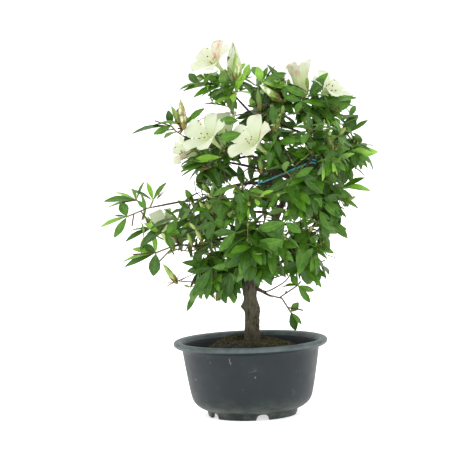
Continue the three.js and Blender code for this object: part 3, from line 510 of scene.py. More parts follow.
# %% Crumbs and moss
# How far out soft things lie on the soil, and how far from the trunk's middle, in millimetres.
SOIL_EDGE, TRUNK_ROOM = 74, 9.5
CRUMBS = {"seed": 11, "count": 1500, "spread": (62, 62), "small": (0.5, 1.3), "large": (1.3, 2.4),
          "small_share": 0.85, "long": (0.7, 1.3), "flat": (0.5, 0.9)}
MOSS = {"lean": (-0.5, 0.5), "tall": (1.2, 3.0), "wide": (0.8, 1.5), "tip_share": 0.35}
# Each patch's centre, how far it spreads to the side and back, and its number of tufts.
MOSS_PATCHES = [((28, -16), (26, 12), 900), ((-20, 22), (26, 20), 1300), ((4, -20), (22, 9), 420),
                ((0, 4), (50, 50), 700)]


def scatter(dice, count, centre, spread):
    """Places on the soil, in a soft patch round a centre."""
    places = []
    while len(places) < count:
        x, y = [middle + wide * (dice.roll() + dice.roll() + dice.roll() - 1.5)
                for middle, wide in zip(centre, spread)]
        if math.hypot(x, y) < SOIL_EDGE and math.hypot(x - TRUNK_FOOT, y) > TRUNK_ROOM:
            places.append(Vector((x, y, soil_height(x, y))))
    return places


bm = bmesh.new()
bmesh.ops.create_icosphere(bm, subdivisions=1, radius=1)
crumb_points, crumb_faces = stamp(bm)
dice = Dice(CRUMBS["seed"])
crumbs = []
for place in scatter(dice, CRUMBS["count"], (0, 0), CRUMBS["spread"]):
    size = dice.between(*CRUMBS["small" if dice.roll() < CRUMBS["small_share"] else "large"])
    long, flat = dice.between(*CRUMBS["long"]), dice.between(*CRUMBS["flat"])
    shape = Matrix.Diagonal((size * long, size, size * flat, 1))
    crumbs.append(Matrix.Translation(place) @ Matrix.Rotation(dice.roll() * 6.3, 4, "Z") @ shape)
crumb_mesh = joined("soil_crumbs", crumb_faces, placed(crumb_points, crumbs))
dress(link("soil_crumbs", crumb_mesh), [], "soil", peat)

bm = bmesh.new()
bmesh.ops.create_cone(bm, cap_ends=True, segments=3, radius1=0.42, radius2=0, depth=1,
                      matrix=Matrix.Translation((0, 0, 0.4)))
spike_points, spike_faces = stamp(bm)
spikes, shades = [], []
for centre, spread, count in MOSS_PATCHES:
    for place in scatter(dice, count, centre, spread):
        lean = Vector((dice.between(*MOSS["lean"]), dice.between(*MOSS["lean"]), 1)).normalized()
        tall, wide, deep = (dice.between(*MOSS[side]) for side in ("tall", "wide", "wide"))
        spikes.append(stood(place, lean, (wide, deep, tall)))
        shades.append([int(dice.roll() < MOSS["tip_share"])] * len(spike_faces))
moss_mesh = joined("moss", spike_faces, placed(spike_points, spikes), shades)
dress(link("moss", moss_mesh), [], "soil", Finish("moss", 0.9, (60, 60, 30)),
      Finish("moss_tips", 0.9, (104, 96, 48)))

# %% [markdown]
# ## Limbs
# The trunk and boughs follow the same curves as their solids, given by the same points. A centripetal
# spline passes through its points with no loops. Each limb is a straight tube, spun from one line of points,
# whose rings are then laid along its curve. Knots, the flare at the trunk's foot, the collar at a bough's
# foot and the bark's plates are pushed out of the skin, so the outline has them too.

# %% The limbs' named sizes
TRUNK_POINTS = [
    (1.5, 0, 86), (2.2, 0, 98), (3, 0, 118), (1.5, 0, 137), (0.5, 0, 153), (1, 2, 171), (10, 4, 192),
    (24.5, 5, 211.5), (34.5, 4, 227.5), (42, 3, 243.5), (52, 2, 261), (64, 0, 275.5), (76, -2, 289),
    (82, 0, 307), (83, 2, 330), (82, 2, 347),
]
TRUNK_RADII = [9.8, 8.8, 8.4, 7.6, 8.8, 7.6, 5.6, 4.2, 3.8, 3.5, 3.2, 3.1, 2.9, 2.6, 2.1, 1.8]
# Height, side it faces in degrees, how far it stands out and how far it spreads.
KNOTS = [(128, 185, 4.4, 4.5), (124, -5, 1.8, 7), (150, 20, 2, 7)]
# Two boughs leave another one, at a share of its length, and all others leave the trunk, at a height.
PARENTS = {"left_shoot": "left_middle", "front_upper": "left_middle"}
# Where each leaves, its radii at foot and tip, and points on its way.
BOUGHS = {
    "top_left": (283, (1.9, 1.2), [(50, 7, 304), (22, 3, 337)]),
    "top": (326, (1.6, 1.2), [(73, 4, 342)]),
    "right_upper": (305, (1.8, 1.3), [(91, -1, 304)]),
    "right": (251, (2, 1.3), [(64, -2, 251)]),
    "right_lower": (158, (2.6, 1.5), [(24, -2, 165), (42, -6, 180)]),
    "right_low": (150, (2.7, 1), [(12, -2, 146), (24, -4, 139)]),
    "front_centre": (262, (1.8, 1.2), [(53, -18, 268)]),
    "left_middle": (311, (2, 1.4), [(65, -8, 302), (42, -13, 302), (18, -14, 300)]),
    "left_shoot": (0.86, (1.3, 0.9), [(-20, 0, 299), (-46, -2, 312)]),
    "front_upper": (0.4, (1.4, 1), [(42, -27, 307)]),
    "left_centre": (230, (1.8, 1.2), [(20, 0, 236), (-6, -7, 238)]),
    "far_left": (262, (2.1, 1), [(34, -5, 268), (8, -9, 271), (-29, -12, 265), (-47, -13, 256),
                                 (-81, -13, 251.5)]),
    "left_lower": (205, (2.3, 1.3), [(-3, 5, 209), (-35, 3, 205), (-50, 0, 199)]),
    "left_low": (171, (1.9, 1.2), [(-8, -1, 176)]),
    "front_low": (186, (2, 1.3), [(6, -14, 194)]),
    "front_right": (281, (1.8, 1.2), [(73, -24, 292)]),
    "front_left": (240, (1.7, 1.1), [(26, -22, 250), (8, -40, 258)]),
    "back_top": (318, (1.7, 1.2), [(66, 24, 327), (46, 40, 336)]),
    "back_right": (286, (2, 1.3), [(78, 24, 288)]),
    "back_left": (271, (2, 1.3), [(34, 18, 281), (0, 34, 290)]),
    "back_centre": (236, (2, 1.3), [(33, 32, 246)]),
    "back_low": (179, (2.2, 1.3), [(6, 22, 186)]),
    "back_low_left": (194, (2, 1.2), [(-12, 24, 206)]),
    "back_low_right": (215, (2, 1.2), [(42, 22, 219)]),
}
# The crown's spaces: centre, radii, shoots in the solid, how far leaves hang, seed, and the solid's shoots
# with places of their own, which show by themselves against the sky.
SPACES = {
    "top_left": ((-22, -12, 388), (58, 44, 42), 4, 0.2, 1611),
    "top": ((42, 4, 380), (52, 49, 42), 5, 0.1, 1612),
    "top_right": ((94, -4, 364), (52, 49, 46), 5, 0.15, 913),
    "right_upper": ((118, 0, 310), (50, 49, 50), 5, 0.45, 714),
    "right": ((92, -6, 252), (46, 50, 46), 4, 0.8, 1515),
    "right_lower": ((76, -10, 200), (48, 50, 54), 5, 0.9, 316),
    "right_low": ((52, -8, 132), (38, 36, 44), 2, 0.9, 4117, [(47, -8, 118), (57, -8, 152)]),
    "front_centre": ((50, -62, 268), (50, 46, 46), 4, 0.6, 1018),
    "left_middle": ((-38, -16, 316), (54, 49, 42), 4, 0.25, 1119),
    "left_shoot": ((-90, -2, 342), (46, 33, 30), 2, 0.25, 7320, [(-97, -6, 341), (-70, 0, 345)]),
    "front_upper": ((26, -60, 328), (50, 46, 44), 4, 0.3, 521),
    "left_centre": ((-44, -20, 254), (48, 47, 38), 4, 0.3, 1222),
    "far_left": ((-133, -10, 243), (42, 36, 42), 3, 0.3, 7723,
                 [(-130, -13, 259), (-133, -9, 238), (-114, -17, 262)]),
    "left_lower": ((-104, -6, 204), (54, 46, 48), 4, 0.4, 4924,
                   [(-112, -16, 218), (-106, -8, 193), (-84, -22, 222)]),
    "left_low": ((-46, -8, 174), (58, 50, 56), 5, 0.9, 325),
    "front_low": ((8, -62, 206), (52, 48, 52), 5, 0.7, 2326),
    "front_right": ((88, -72, 318), (47, 44, 48), 4, 0.4, 127),
    "front_left": ((-10, -76, 262), (46, 42, 42), 3, 0.35, 2128),
    "back_top": ((28, 50, 352), (54, 50, 48), 4, 0.2, 29),
    "back_right": ((94, 52, 294), (52, 50, 54), 4, 0.45, 1030),
    "back_left": ((-46, 46, 300), (54, 49, 48), 4, 0.35, 131),
    "back_centre": ((24, 64, 266), (52, 47, 50), 3, 0.45, 2232),
    "back_low": ((14, 50, 196), (54, 50, 54), 4, 0.7, 1133),
    "back_low_left": ((-62, 44, 222), (52, 47, 46), 3, 0.5, 1634),
    "back_low_right": ((82, 48, 218), (49, 49, 48), 4, 0.7, 1735),
}
NAMES = list(SPACES)
CENTRES = np.array([SPACES[n][0] for n in NAMES], float)
RADII = np.array([SPACES[n][1] for n in NAMES], float)
print("boughs:", len(BOUGHS), "spaces:", len(NAMES))

# %% Curves
def centripetal(points, parts=40):
    """Close points along a centripetal spline through a few points."""
    points = [Vector(p) for p in points]
    ends = [points[0] * 2 - points[1], *points, points[-1] * 2 - points[-2]]
    path = []
    for p0, p1, p2, p3 in zip(ends, ends[1:], ends[2:], ends[3:]):
        d0, d1, d2 = (max((b - a).length, 1e-6) ** 0.5 for a, b in ((p0, p1), (p1, p2), (p2, p3)))
        m1 = ((p1 - p0) / d0 - (p2 - p0) / (d0 + d1) + (p2 - p1) / d1) * d1
        m2 = ((p2 - p1) / d1 - (p3 - p1) / (d1 + d2) + (p3 - p2) / d2) * d1
        for t in (i / parts for i in range(parts)):
            path.append(p1 + m1 * t + (p2 * 3 - p1 * 3 - m1 * 2 - m2) * t * t
                        + (p1 * 2 - p2 * 2 + m1 + m2) * t ** 3)
    return np.array([*path, points[-1]])


class Limb:
    """A limb's centre line, measured along its length, with a radius at each place."""

    NEAR = 0.004

    def __init__(self, points, radius_at, stretches):
        self.path = centripetal(points)
        self.runs = np.concatenate([[0.0], np.cumsum(np.linalg.norm(np.diff(self.path, axis=0), axis=1))])
        self.length = float(self.runs[-1])
        self.radius_at = radius_at
        self.marks = np.array([self.at(i / stretches) for i in range(stretches + 1)])
        self.mark_radii = np.array([radius_at(i / stretches, m) for i, m in enumerate(self.marks)])

    def at(self, share):
        return Vector([float(np.interp(share * self.length, self.runs, self.path[:, i])) for i in range(3)])

    def heading(self, share):
        return (self.at(min(1, share + self.NEAR)) - self.at(max(0, share - self.NEAR))).normalized()

    def share_at(self, height):
        """How far along the limb a height is, for one that rises all the way."""
        return float(np.interp(height, self.path[:, 2], self.runs)) / self.length


def trunk_radius(share, place):
    return float(np.interp(place[2], [p[2] for p in TRUNK_POINTS], TRUNK_RADII))


def depths(place):
    """How deep a point lies in each space: 0 at a centre and 1 on a skin."""
    return np.sqrt((((np.array(place) - CENTRES) / RADII) ** 2).sum(1))


def in_own_space(name, place, margin):
    """Whether a point lies in a space, and nearer to its centre than to any other's by a margin."""
    deep = depths(place)
    own = deep[NAMES.index(name)]
    deep[NAMES.index(name)] = np.inf
    return own <= 1 and own + margin < deep.min()


# Where a bough may end: the share of the way from its last bend to the centre, tried from the outside in,
# and how deep and how clearly in its own space that has to be.
ENTRY = {"first": 0.8, "step": 0.02, "tries": 40, "depth": 0.62, "margin": 0.06}


def entry_point(name, last_bend):
    """Where a bough ends, as it enters the space that it carries."""
    centre = Vector(SPACES[name][0])
    for step in range(ENTRY["tries"]):
        place = centre.lerp(Vector(last_bend), ENTRY["first"] - ENTRY["step"] * step)
        if depths(place)[NAMES.index(name)] < ENTRY["depth"] and in_own_space(name, place, ENTRY["margin"]):
            return place
    return centre


limbs = {"trunk": Limb(TRUNK_POINTS, trunk_radius, 40)}
for name, (at, radii, via) in BOUGHS.items():
    stock = limbs[PARENTS.get(name, "trunk")]
    foot = stock.at(at if name in PARENTS else stock.share_at(at))
    points = [foot, *via, entry_point(name, via[-1])]
    limbs[name] = Limb(points, lambda share, place, r=radii: r[0] + (r[1] - r[0]) * share, 12)
print("limbs:", len(limbs), "far left bough ends at", [round(c, 1) for c in limbs["far_left"].at(1)])

# %% [markdown]
# ### Skin and bark
# The trunk's bark is thin and flaky: long shallow plates with dark seams. Ridged noise, stretched along the
# limb, moves the skin by up to half a millimetre. The finish's noise is stretched the same way, so its seams
# run with the plates. The trunk is grey, and the boughs' younger bark is browner.

# %% Lay a tube along a limb
def ring_frames(limb, rings):
    """Centre, two sides and run for each ring, with no twist from one ring to the next."""
    side = Vector((1, 0, 0))
    frames = []
    for i in range(rings + 1):
        along = limb.heading(i / rings)
        side = (side - along * side.dot(along)).normalized()
        frames.append((limb.at(i / rings), side.copy(), along.cross(side), limb.length * i / rings))
    return frames


def bend_tube(bm, limb, skin, sides, rings):
    """Adds a tube along a limb to a bmesh. skin gives its radius for a share, centre, way out and run."""
    tube = spun([(1, i) for i in range(rings + 1)], sides)
    bmesh.ops.holes_fill(tube, edges=tube.edges[:], sides=0)
    bmesh.ops.recalc_face_normals(tube, faces=tube.faces[:])
    frames = ring_frames(limb, rings)
    for vert in tube.verts:
        centre, side, other, run = frames[round(vert.co.z)]
        out = (side * vert.co.x + other * vert.co.y).normalized()
        vert.co = (centre + out * skin(run / limb.length, centre, out, run)) * MM
    made = bpy.data.meshes.new("tube")
    tube.to_mesh(made)
    tube.free()
    bm.from_mesh(made)
    bpy.data.meshes.remove(made)


# The bark's plates: their size round the limb, how they drift as it leans, and how sharp their seams are.
PLATES = {"round": 3.1, "drift": 0.02, "seam": 2.6, "edge": 0.45}


def plates(centre, out, run, radius, stretch=9.0):
    """The bark's relief from -1 to 1: plates longer than wide, with narrow seams between them."""
    place = Vector((out.x * radius / PLATES["round"] + centre.x * PLATES["drift"],
                    out.y * radius / PLATES["round"], run / stretch))
    seams = 1 - abs(noise.noise(place)) * PLATES["seam"]
    return (0.75 * noise.noise(place * 2.3) - 0.9 * max(0.0, seams - PLATES["edge"])
            + 0.35 * noise.noise(place * 6))


# In millimetres: how far round a knot spreads, in radians, the flare over the roots, and the bark's relief.
KNOT_TURN = 0.55
FLARE = {"top": 96, "height": 10, "proud": 0.6, "roots": 3}
RELIEF = {"most": 0.6, "share": 0.07, "bough": 0.14, "bough_stretch": 5}


def trunk_skin(share, centre, out, run):
    facing = math.atan2(out.y, out.x)
    radius = trunk_radius(share, centre)
    for height, side, proud, spread in KNOTS:
        turn = (facing - math.radians(side) + math.pi) % (2 * math.pi) - math.pi
        radius += proud * math.exp(-((centre.z - height) / spread) ** 2 - (turn / KNOT_TURN) ** 2)
    flare = max(0.0, FLARE["top"] - centre.z) / FLARE["height"]
    radius += FLARE["proud"] * flare * math.cos(FLARE["roots"] * facing)
    return radius + plates(centre, out, run, radius) * min(RELIEF["most"], RELIEF["share"] * radius)


bm = bmesh.new()
bend_tube(bm, limbs["trunk"], trunk_skin, sides=72, rings=300)
trunk = link("trunk", mesh_from(bm, "trunk"))

# The collar at a bough's foot, its small nodes, and how much thinner it stays inside its parent.
COLLAR = {"proud": 0.7, "from": 0.8, "length": 3.5, "hidden": 0.6, "inside": 0.92}
NODES = {"proud": 0.1, "wave": 0.55, "sharp": 8}


def bough_skin(name):
    limb = limbs[name]
    foot = BOUGHS[PARENTS[name]][1][1] if name in PARENTS else trunk_radius(0, limb.at(0))

    def skin(share, centre, out, run):
        radius = limb.radius_at(share, centre)
        collar = COLLAR["proud"] * math.exp(-max(0.0, run - foot * COLLAR["from"]) / COLLAR["length"])
        nodes = NODES["proud"] * math.sin(run * NODES["wave"] + len(name)) ** NODES["sharp"]
        relief = RELIEF["bough"] * plates(centre, out, run, radius, RELIEF["bough_stretch"])
        grown = radius * (1 + collar + nodes) + relief
        return min(grown, foot * COLLAR["inside"]) if run < foot * COLLAR["hidden"] else grown

    return skin


bm = bmesh.new()
for name in BOUGHS:
    bend_tube(bm, limbs[name], bough_skin(name), sides=14, rings=max(24, round(limbs[name].length / 1.6)))
boughs = link("boughs", mesh_from(bm, "boughs"))

# %% Bark finish
# Heights in metres between which the bark above the soil turns damp.
DAMP = (0.106, 0.09)


def bark_finish(name, young, old, seam, fleck):
    bark = Finish(name, 0.88)
    long_grain = bark.noise(230, 5, 0.65, (1, 1, 0.3))
    ground = bark.blend(bark.patches((75, 3, 0.6, (1, 1, 0.5)), 0.35, 0.65), young, old)
    seamed = bark.blend(bark.step(long_grain, 0.52, 0.36), ground, seam)
    flecked = bark.blend(bark.patches((480, 3, 0.6, (1, 1, 0.5)), 0.58, 0.7, 0.7), seamed, fleck)
    damp = bark.times(bark.step(bark.coordinate("Z"), *DAMP), bark.patches((110, 3), 0.2, 0.6))
    bark.colour(bark.blend(damp, flecked, (50, 42, 26)))
    bark.bump(long_grain, 0.0012, 0.8)
    return bark


trunk_bark = bark_finish("trunk_bark", (74, 67, 49), (88, 85, 65), (36, 30, 21), (122, 118, 95))
bough_bark = bark_finish("bough_bark", (66, 50, 40), (80, 66, 52), (40, 30, 23), (106, 92, 76))
dress(trunk, ["trunk"], "bark", trunk_bark)
dress(boughs, [f"bough_{name}" for name in BOUGHS], "bark", bough_bark)

# %% [markdown]
# ## Growing the crown
# Each space is filled by the rule that made its solid: a stem stands off the bough's tip, shoot ends are
# spread evenly through the space, and each is reached by a twig from the nearest point that is not bent back.
# The same dice gives the same first twigs, and the rule then goes on to more and finer ones. A twig or leaf
# that would leave its space, touch a limb or stand before an open flower is skipped.

# %% Flowers and buds, and where they stand
# Space, where the tube starts, the way it faces, length in millimetres, how wide it is open, share of pink,
# the petal that has most of it, counted from the upper one to the left, and its turn in degrees.
FLOWERS = [
    ("top_left", (-17, -12, 396), (-0.54, -0.5, 0.68), 41, 1, 0.9, 0, 0),
    ("top_left", (-7, -2, 385), (-0.03, 0.02, 0.99), 48, 0.08, 0.1, 2, 0),
    ("top_right", (71, 4, 366), (-0.12, 0.14, 0.98), 44, 0.3, 0.5, 4, 36),
    ("top_right", (84, 4, 355), (0.55, -0.38, 0.74), 41, 0.95, 0.0, 0, 54),
    ("left_middle", (-23, -14, 309), (-0.58, -0.54, 0.61), 47, 1, 0.05, 3, 0),
    ("left_middle", (-46, 0, 303), (-0.86, -0.3, 0.25), 36, 0.7, 0.7, 3, 0),
    ("left_middle", (-18, 0, 307), (-0.12, 0.1, 0.98), 46, 0.35, 0.0, 0, 0),
    ("front_upper", (29, -44, 302), (-0.6, -0.52, 0.6), 48, 1, 0.3, 4, 0),
    ("left_lower", (-86, 8, 199), (-0.4, 0.2, 0.9), 45, 0.4, 0.0, 0, 0),
    ("back_top", (26, 62, 345), (0.2, 0.88, 0.4), 40, 0.95, 0.2, 1, 0),
    ("back_right", (92, 63, 296), (0.15, 0.95, 0.2), 40, 0.9, 0.1, 2, 0),
    ("back_left", (-40, 63, 300), (-0.15, 0.95, 0.2), 40, 0.95, 0.3, 0, 0),
]
# Space, foot, the way it points, length, and colour: 0 green, 1 yellow-green, 2 pale and striped.
BUDS = [
    ("top_left", (-6, -20, 389), (0.0, -0.08, 1), 33, 2),
    ("top_left", (-12, -14, 354), (-0.05, -0.1, 1), 18, 0),
    ("top", (43, -25, 366), (-0.78, -0.15, 0.62), 30, 2),
    ("top", (20, -20, 358), (-0.08, -0.1, 1), 22, 0),
    ("front_upper", (34, -52, 331), (0.38, -0.1, 0.92), 22, 1),
    ("left_shoot", (-68, -6, 338), (-0.1, -0.1, 0.99), 34, 2),
    ("left_shoot", (-72, -2, 340), (-0.4, 0, 0.9), 26, 1),
    ("front_right", (99, -66, 304), (-0.14, -0.1, 0.98), 31, 1),
    ("left_centre", (-20, -40, 240), (-0.15, -0.1, 0.98), 20, 1),
    ("left_centre", (-44, -34, 240), (-0.6, -0.1, 0.8), 17, 1),
    ("left_centre", (-32, -34, 238), (-0.6, -0.1, 0.85), 16, 1),
    ("left_low", (-84, -14, 160), (-0.55, -0.1, 0.83), 26, 1),
    ("right_lower", (44, -38, 205), (-0.4, -0.1, 0.9), 15, 2),
    ("left_centre", (-38, -36, 239), (-0.5, -0.1, 0.85), 17, 1),
    ("left_centre", (-64, -30, 204), (-0.3, -0.1, 0.95), 14, 1),
    ("left_centre", (-53, -36, 209), (-0.4, -0.1, 0.9), 15, 1),
    ("front_upper", (19, -40, 286), (-0.1, -0.1, 1), 16, 1),
    ("left_centre", (-57, -30, 220), (-0.7, -0.1, 0.7), 13, 1),
    ("back_centre", (10, 84, 284), (-0.2, 0.5, 0.84), 20, 1),
    ("back_low", (30, 72, 210), (0.2, 0.6, 0.77), 20, 1),
]
# Sprays whose leaves each show by themselves: the space, the spray's place, and its leaves. Each leaf has a
# bearing in the front view in degrees, a length, the width it shows, its colour, and how far it arches where
# that isn't slightly. The colour is partly painted shade: leaves that lie in shade, low in the crown's front
# and behind the wire, get the deep green.
# The deep green is the old leaves' colour, and it also serves as painted shade.
DEEP_AND_SHADE, MID, NEW, UNDER = 0, 1, 2, 3
SLIGHT_ARCH = 0.1
SPRAYS = [
    ("far_left", (-107, -17, 255), [(52, 27, 6, MID, 0.2), (105, 23, 6, NEW), (153, 30, 3, MID)]),
    ("far_left", (-126, -13, 256), [(-41, 15, 6, MID), (-179, 39, 6, MID, 0.2), (158, 27, 3, NEW),
        (-168, 35, 3, NEW), (65, 24, 3, MID), (110, 15, 3, NEW)]),
    ("far_left", (-138, -9, 237), [(110, 19, 12, MID), (-160, 34, 5, NEW), (-124, 29, 9, MID),
        (174, 15, 2, MID)]),
    ("left_shoot", (-83, -6, 340), [(99, 19, 9, DEEP_AND_SHADE), (-158, 23, 8, MID), (-171, 47, 2, DEEP_AND_SHADE, 0.2)]),
    ("left_shoot", (-66, -4, 341), [(-179, 42, 3, DEEP_AND_SHADE, 0.35), (41, 29, 7, MID, 0.2), (64, 11, 3, NEW),
        (174, 16, 2, DEEP_AND_SHADE)]),
    ("left_lower", (-112, -16, 223), [(-153, 33, 6, DEEP_AND_SHADE, 0.15), (-174, 25, 2, MID), (178, 12, 5, MID),
        (110, 12, 3, DEEP_AND_SHADE), (77, 12, 3, NEW)]),
    ("left_lower", (-91, -14, 228), [(-141, 39, 10, DEEP_AND_SHADE, 0.3)]),
    ("left_lower", (-106, -10, 194), [(-99, 28, 14, DEEP_AND_SHADE), (-157, 41, 8, MID), (145, 17, 9, DEEP_AND_SHADE),
        (171, 29, 7, NEW), (-167, 41, 3, NEW), (94, 21, 6, NEW)]),
    ("left_lower", (-79, -20, 233), [(-162, 34, 3, DEEP_AND_SHADE, 0.35), (-130, 21, 10, MID), (56, 22, 8, DEEP_AND_SHADE),
        (144, 21, 3, MID), (23, 19, 3, DEEP_AND_SHADE)]),
    ("left_low", (-60, -8, 146), [(-120, 25, 7, DEEP_AND_SHADE, 0.25)]),
    ("right_low", (48, -8, 119), [(50, 15, 9, MID), (-77, 23, 10, DEEP_AND_SHADE), (-50, 19, 5, MID)]),
    ("right_low", (57, -8, 150), [(119, 14, 9, MID), (-22, 21, 7, MID), (-56, 26, 8, MID),
        (-175, 20, 2, DEEP_AND_SHADE), (173, 14, 3, MID)]),
    ("right_lower", (61, -24, 176), [(-29, 34, 8, MID, 0.25), (-51, 37, 9, MID, 0.2), (-73, 26, 9, DEEP_AND_SHADE)]),
    ("right_lower", (71, -22, 199), [(-23, 32, 8, MID, 0.25), (-42, 29, 6, MID), (-69, 24, 7, DEEP_AND_SHADE)]),
    ("right", (98, -20, 227), [(-52, 29, 10, MID)]),
    ("right", (84, -30, 238), [(-76, 38, 10, DEEP_AND_SHADE), (-61, 27, 12, MID)]),
    ("right", (85, -32, 251), [(-44, 33, 10, MID, 0.2), (3, 29, 9, DEEP_AND_SHADE, 0.2), (-30, 27, 3, MID)]),
    ("right", (112, -10, 262), [(-75, 24, 9, MID), (-8, 33, 6, NEW, 0.35), (22, 29, 5, MID)]),
    ("right_upper", (114, -12, 266), [(83, 26, 13, DEEP_AND_SHADE)]),
    ("right_upper", (119, -10, 303), [(-22, 27, 9, MID, 0.2), (-2, 36, 12, NEW, 0.3), (52, 21, 12, DEEP_AND_SHADE)]),
    ("right_upper", (125, -6, 326), [(33, 24, 5, MID), (-39, 17, 3, MID), (72, 17, 7, DEEP_AND_SHADE)]),
    ("top_right", (123, -2, 344), [(56, 15, 7, MID)]),
    ("top_right", (91, -20, 360), [(7, 42, 7, MID, 0.15), (0, 35, 3, DEEP_AND_SHADE)]),
    ("top_right", (76, -22, 368), [(48, 28, 13, DEEP_AND_SHADE), (48, 36, 9, MID, 0.25), (154, 31, 9, MID)]),
    ("top_right", (67, -30, 364), [(160, 22, 8, MID), (-113, 16, 9, MID), (-54, 20, 9, DEEP_AND_SHADE),
        (-12, 34, 8, MID)]),
    ("top_right", (86, -16, 365), [(9, 23, 7, DEEP_AND_SHADE)]),
    ("top", (23, -16, 387), [(105, 19, 10, NEW), (18, 31, 8, MID), (66, 19, 5, MID), (-12, 33, 9, NEW)]),
    ("top_left", (-23, -20, 384), [(-175, 45, 4, MID, 0.4), (-161, 35, 5, MID, 0.3), (-155, 28, 3, NEW, 0.2),
        (144, 26, 7, MID)]),
    ("top_left", (2, -14, 390), [(67, 20, 8, NEW)]),
    ("top_left", (-18, -16, 360), [(146, 22, 5, MID, 0.35), (171, 28, 3, MID, 0.25)]),
    ("front_upper", (-2, -48, 330), [(-170, 28, 12, MID)]),
    ("front_upper", (-5, -40, 344), [(175, 22, 10, MID)]),
    ("front_upper", (37, -60, 307), [(33, 43, 7, MID, 0.3), (140, 19, 9, MID), (-157, 19, 7, DEEP_AND_SHADE)]),
    ("front_centre", (54, -74, 278), [(-94, 29, 15, DEEP_AND_SHADE, 0.15), (-155, 33, 10, DEEP_AND_SHADE), (27, 26, 8, MID)]),
    ("front_centre", (62, -70, 286), [(-47, 37, 13, DEEP_AND_SHADE, 0.25)]),
    ("front_centre", (43, -72, 229), [(-165, 34, 12, MID, 0.15), (-126, 26, 12, DEEP_AND_SHADE), (-37, 22, 10, MID),
        (48, 21, 8, DEEP_AND_SHADE)]),
    ("front_low", (41, -74, 209), [(-168, 38, 13, MID, 0.25), (-132, 28, 13, MID), (157, 25, 6, DEEP_AND_SHADE)]),
    ("front_low", (9, -72, 202), [(-109, 42, 14, DEEP_AND_SHADE, 0.2), (-146, 41, 13, DEEP_AND_SHADE), (171, 27, 7, MID)]),
    ("front_low", (10, -66, 185), [(-61, 33, 10, DEEP_AND_SHADE), (-27, 33, 9, DEEP_AND_SHADE), (-137, 14, 6, DEEP_AND_SHADE)]),
    ("right_lower", (60, -30, 179), [(-154, 25, 12, DEEP_AND_SHADE), (99, 18, 10, MID), (45, 22, 9, MID)]),
    ("front_left", (-13, -74, 220), [(-132, 30, 10, MID), (-179, 25, 9, DEEP_AND_SHADE), (73, 21, 8, DEEP_AND_SHADE)]),
    ("left_low", (-42, -40, 177), [(-173, 29, 10, DEEP_AND_SHADE), (-126, 39, 12, DEEP_AND_SHADE), (-101, 38, 10, DEEP_AND_SHADE),
        (4, 22, 8, MID), (168, 35, 6, DEEP_AND_SHADE)]),
    ("left_low", (-21, -30, 170), [(-123, 27, 9, DEEP_AND_SHADE), (-97, 29, 12, DEEP_AND_SHADE), (-58, 21, 7, MID),
        (-155, 28, 7, DEEP_AND_SHADE)]),
    ("front_left", (4, -72, 249), [(117, 21, 12, DEEP_AND_SHADE), (35, 17, 9, DEEP_AND_SHADE), (-160, 21, 10, MID),
        (-71, 19, 7, DEEP_AND_SHADE)]),
    ("left_centre", (-37, -60, 231), [(-158, 22, 8, DEEP_AND_SHADE), (-113, 22, 9, DEEP_AND_SHADE), (23, 21, 8, MID),
        (-25, 17, 9, MID), (136, 17, 6, DEEP_AND_SHADE)]),
    ("left_middle", (-37, -24, 299), [(-170, 38, 3, MID, 0.25), (-162, 40, 3, MID), (-155, 41, 2, DEEP_AND_SHADE),
        (-142, 36, 5, MID, 0.3), (174, 30, 5, DEEP_AND_SHADE)]),
    ("left_middle", (-26, -30, 303), [(-174, 34, 9, NEW)]),
    ("back_centre", (34, 26, 284), [(25, 34, 10, DEEP_AND_SHADE), (65, 28, 10, DEEP_AND_SHADE), (-15, 34, 10, DEEP_AND_SHADE),
        (150, 28, 8, DEEP_AND_SHADE)]),
    ("back_right", (64, 27, 284), [(170, 28, 9, DEEP_AND_SHADE), (120, 26, 10, DEEP_AND_SHADE), (20, 30, 10, DEEP_AND_SHADE)]),
]
# Spaces whose main shoots are their sprays.
LONE = ("far_left", "left_shoot", "right_low", "left_lower")
print("flowers:", len(FLOWERS), "buds:", len(BUDS), "sprays:", len(SPRAYS))

# %% Clearances
STRETCH_A = np.concatenate([limb.marks[:-1] for limb in limbs.values()])
STRETCH_B = np.concatenate([limb.marks[1:] for limb in limbs.values()])
STRETCH_R = np.concatenate([np.maximum(limb.mark_radii[:-1], limb.mark_radii[1:])
                            for limb in limbs.values()])
BLOOM_FEET = np.array([f[1] for f in FLOWERS], float)
BLOOM_WAYS = np.array([Vector(f[2]).normalized()[:] for f in FLOWERS])
BLOOM_LENGTHS = np.array([f[3] for f in FLOWERS], float)
BLOOM_OPEN = np.array([f[4] for f in FLOWERS], float)
# The clear room before a flower: where it begins in millimetres, how many flower lengths deep it is, and how
# wide its cone is where the flower is open.
BLOOM_ROOM = {"near": 4, "far": 1.15, "cone": 0.24}


def touches_limb(start, end, thickness):
    """Whether a straight stretch comes nearer to any limb than their thicknesses allow."""
    a0 = np.array(start)
    u = np.array(end) - a0
    v = STRETCH_B - STRETCH_A
    w = a0 - STRETCH_A
    a, b, c, d, e = u @ u, v @ u, (v * v).sum(1), w @ u, (w * v).sum(1)
    det = a * c - b * b
    s = np.where(det > 1e-9, np.clip((b * e - c * d) / np.maximum(det, 1e-9), 0, 1), 0)
    t = np.clip((b * s + e) / np.maximum(c, 1e-9), 0, 1)
    s = np.clip((b * t - d) / a, 0, 1) if a > 1e-9 else s
    gap = np.linalg.norm(w + s[:, None] * u - t[:, None] * v, axis=1)
    return bool((gap < STRETCH_R + thickness).any())


def in_bloom_room(place):
    """Whether a point lies in the clear room before a flower's face."""
    reach = np.array(place) - BLOOM_FEET
    away = np.linalg.norm(reach, axis=1)
    facing = (reach * BLOOM_WAYS).sum(1) / np.maximum(away, 1e-6)
    wide = facing > 1 - BLOOM_ROOM["cone"] * BLOOM_OPEN
    return bool(((away > BLOOM_ROOM["near"]) & (away < BLOOM_LENGTHS * BLOOM_ROOM["far"]) & wide).any())


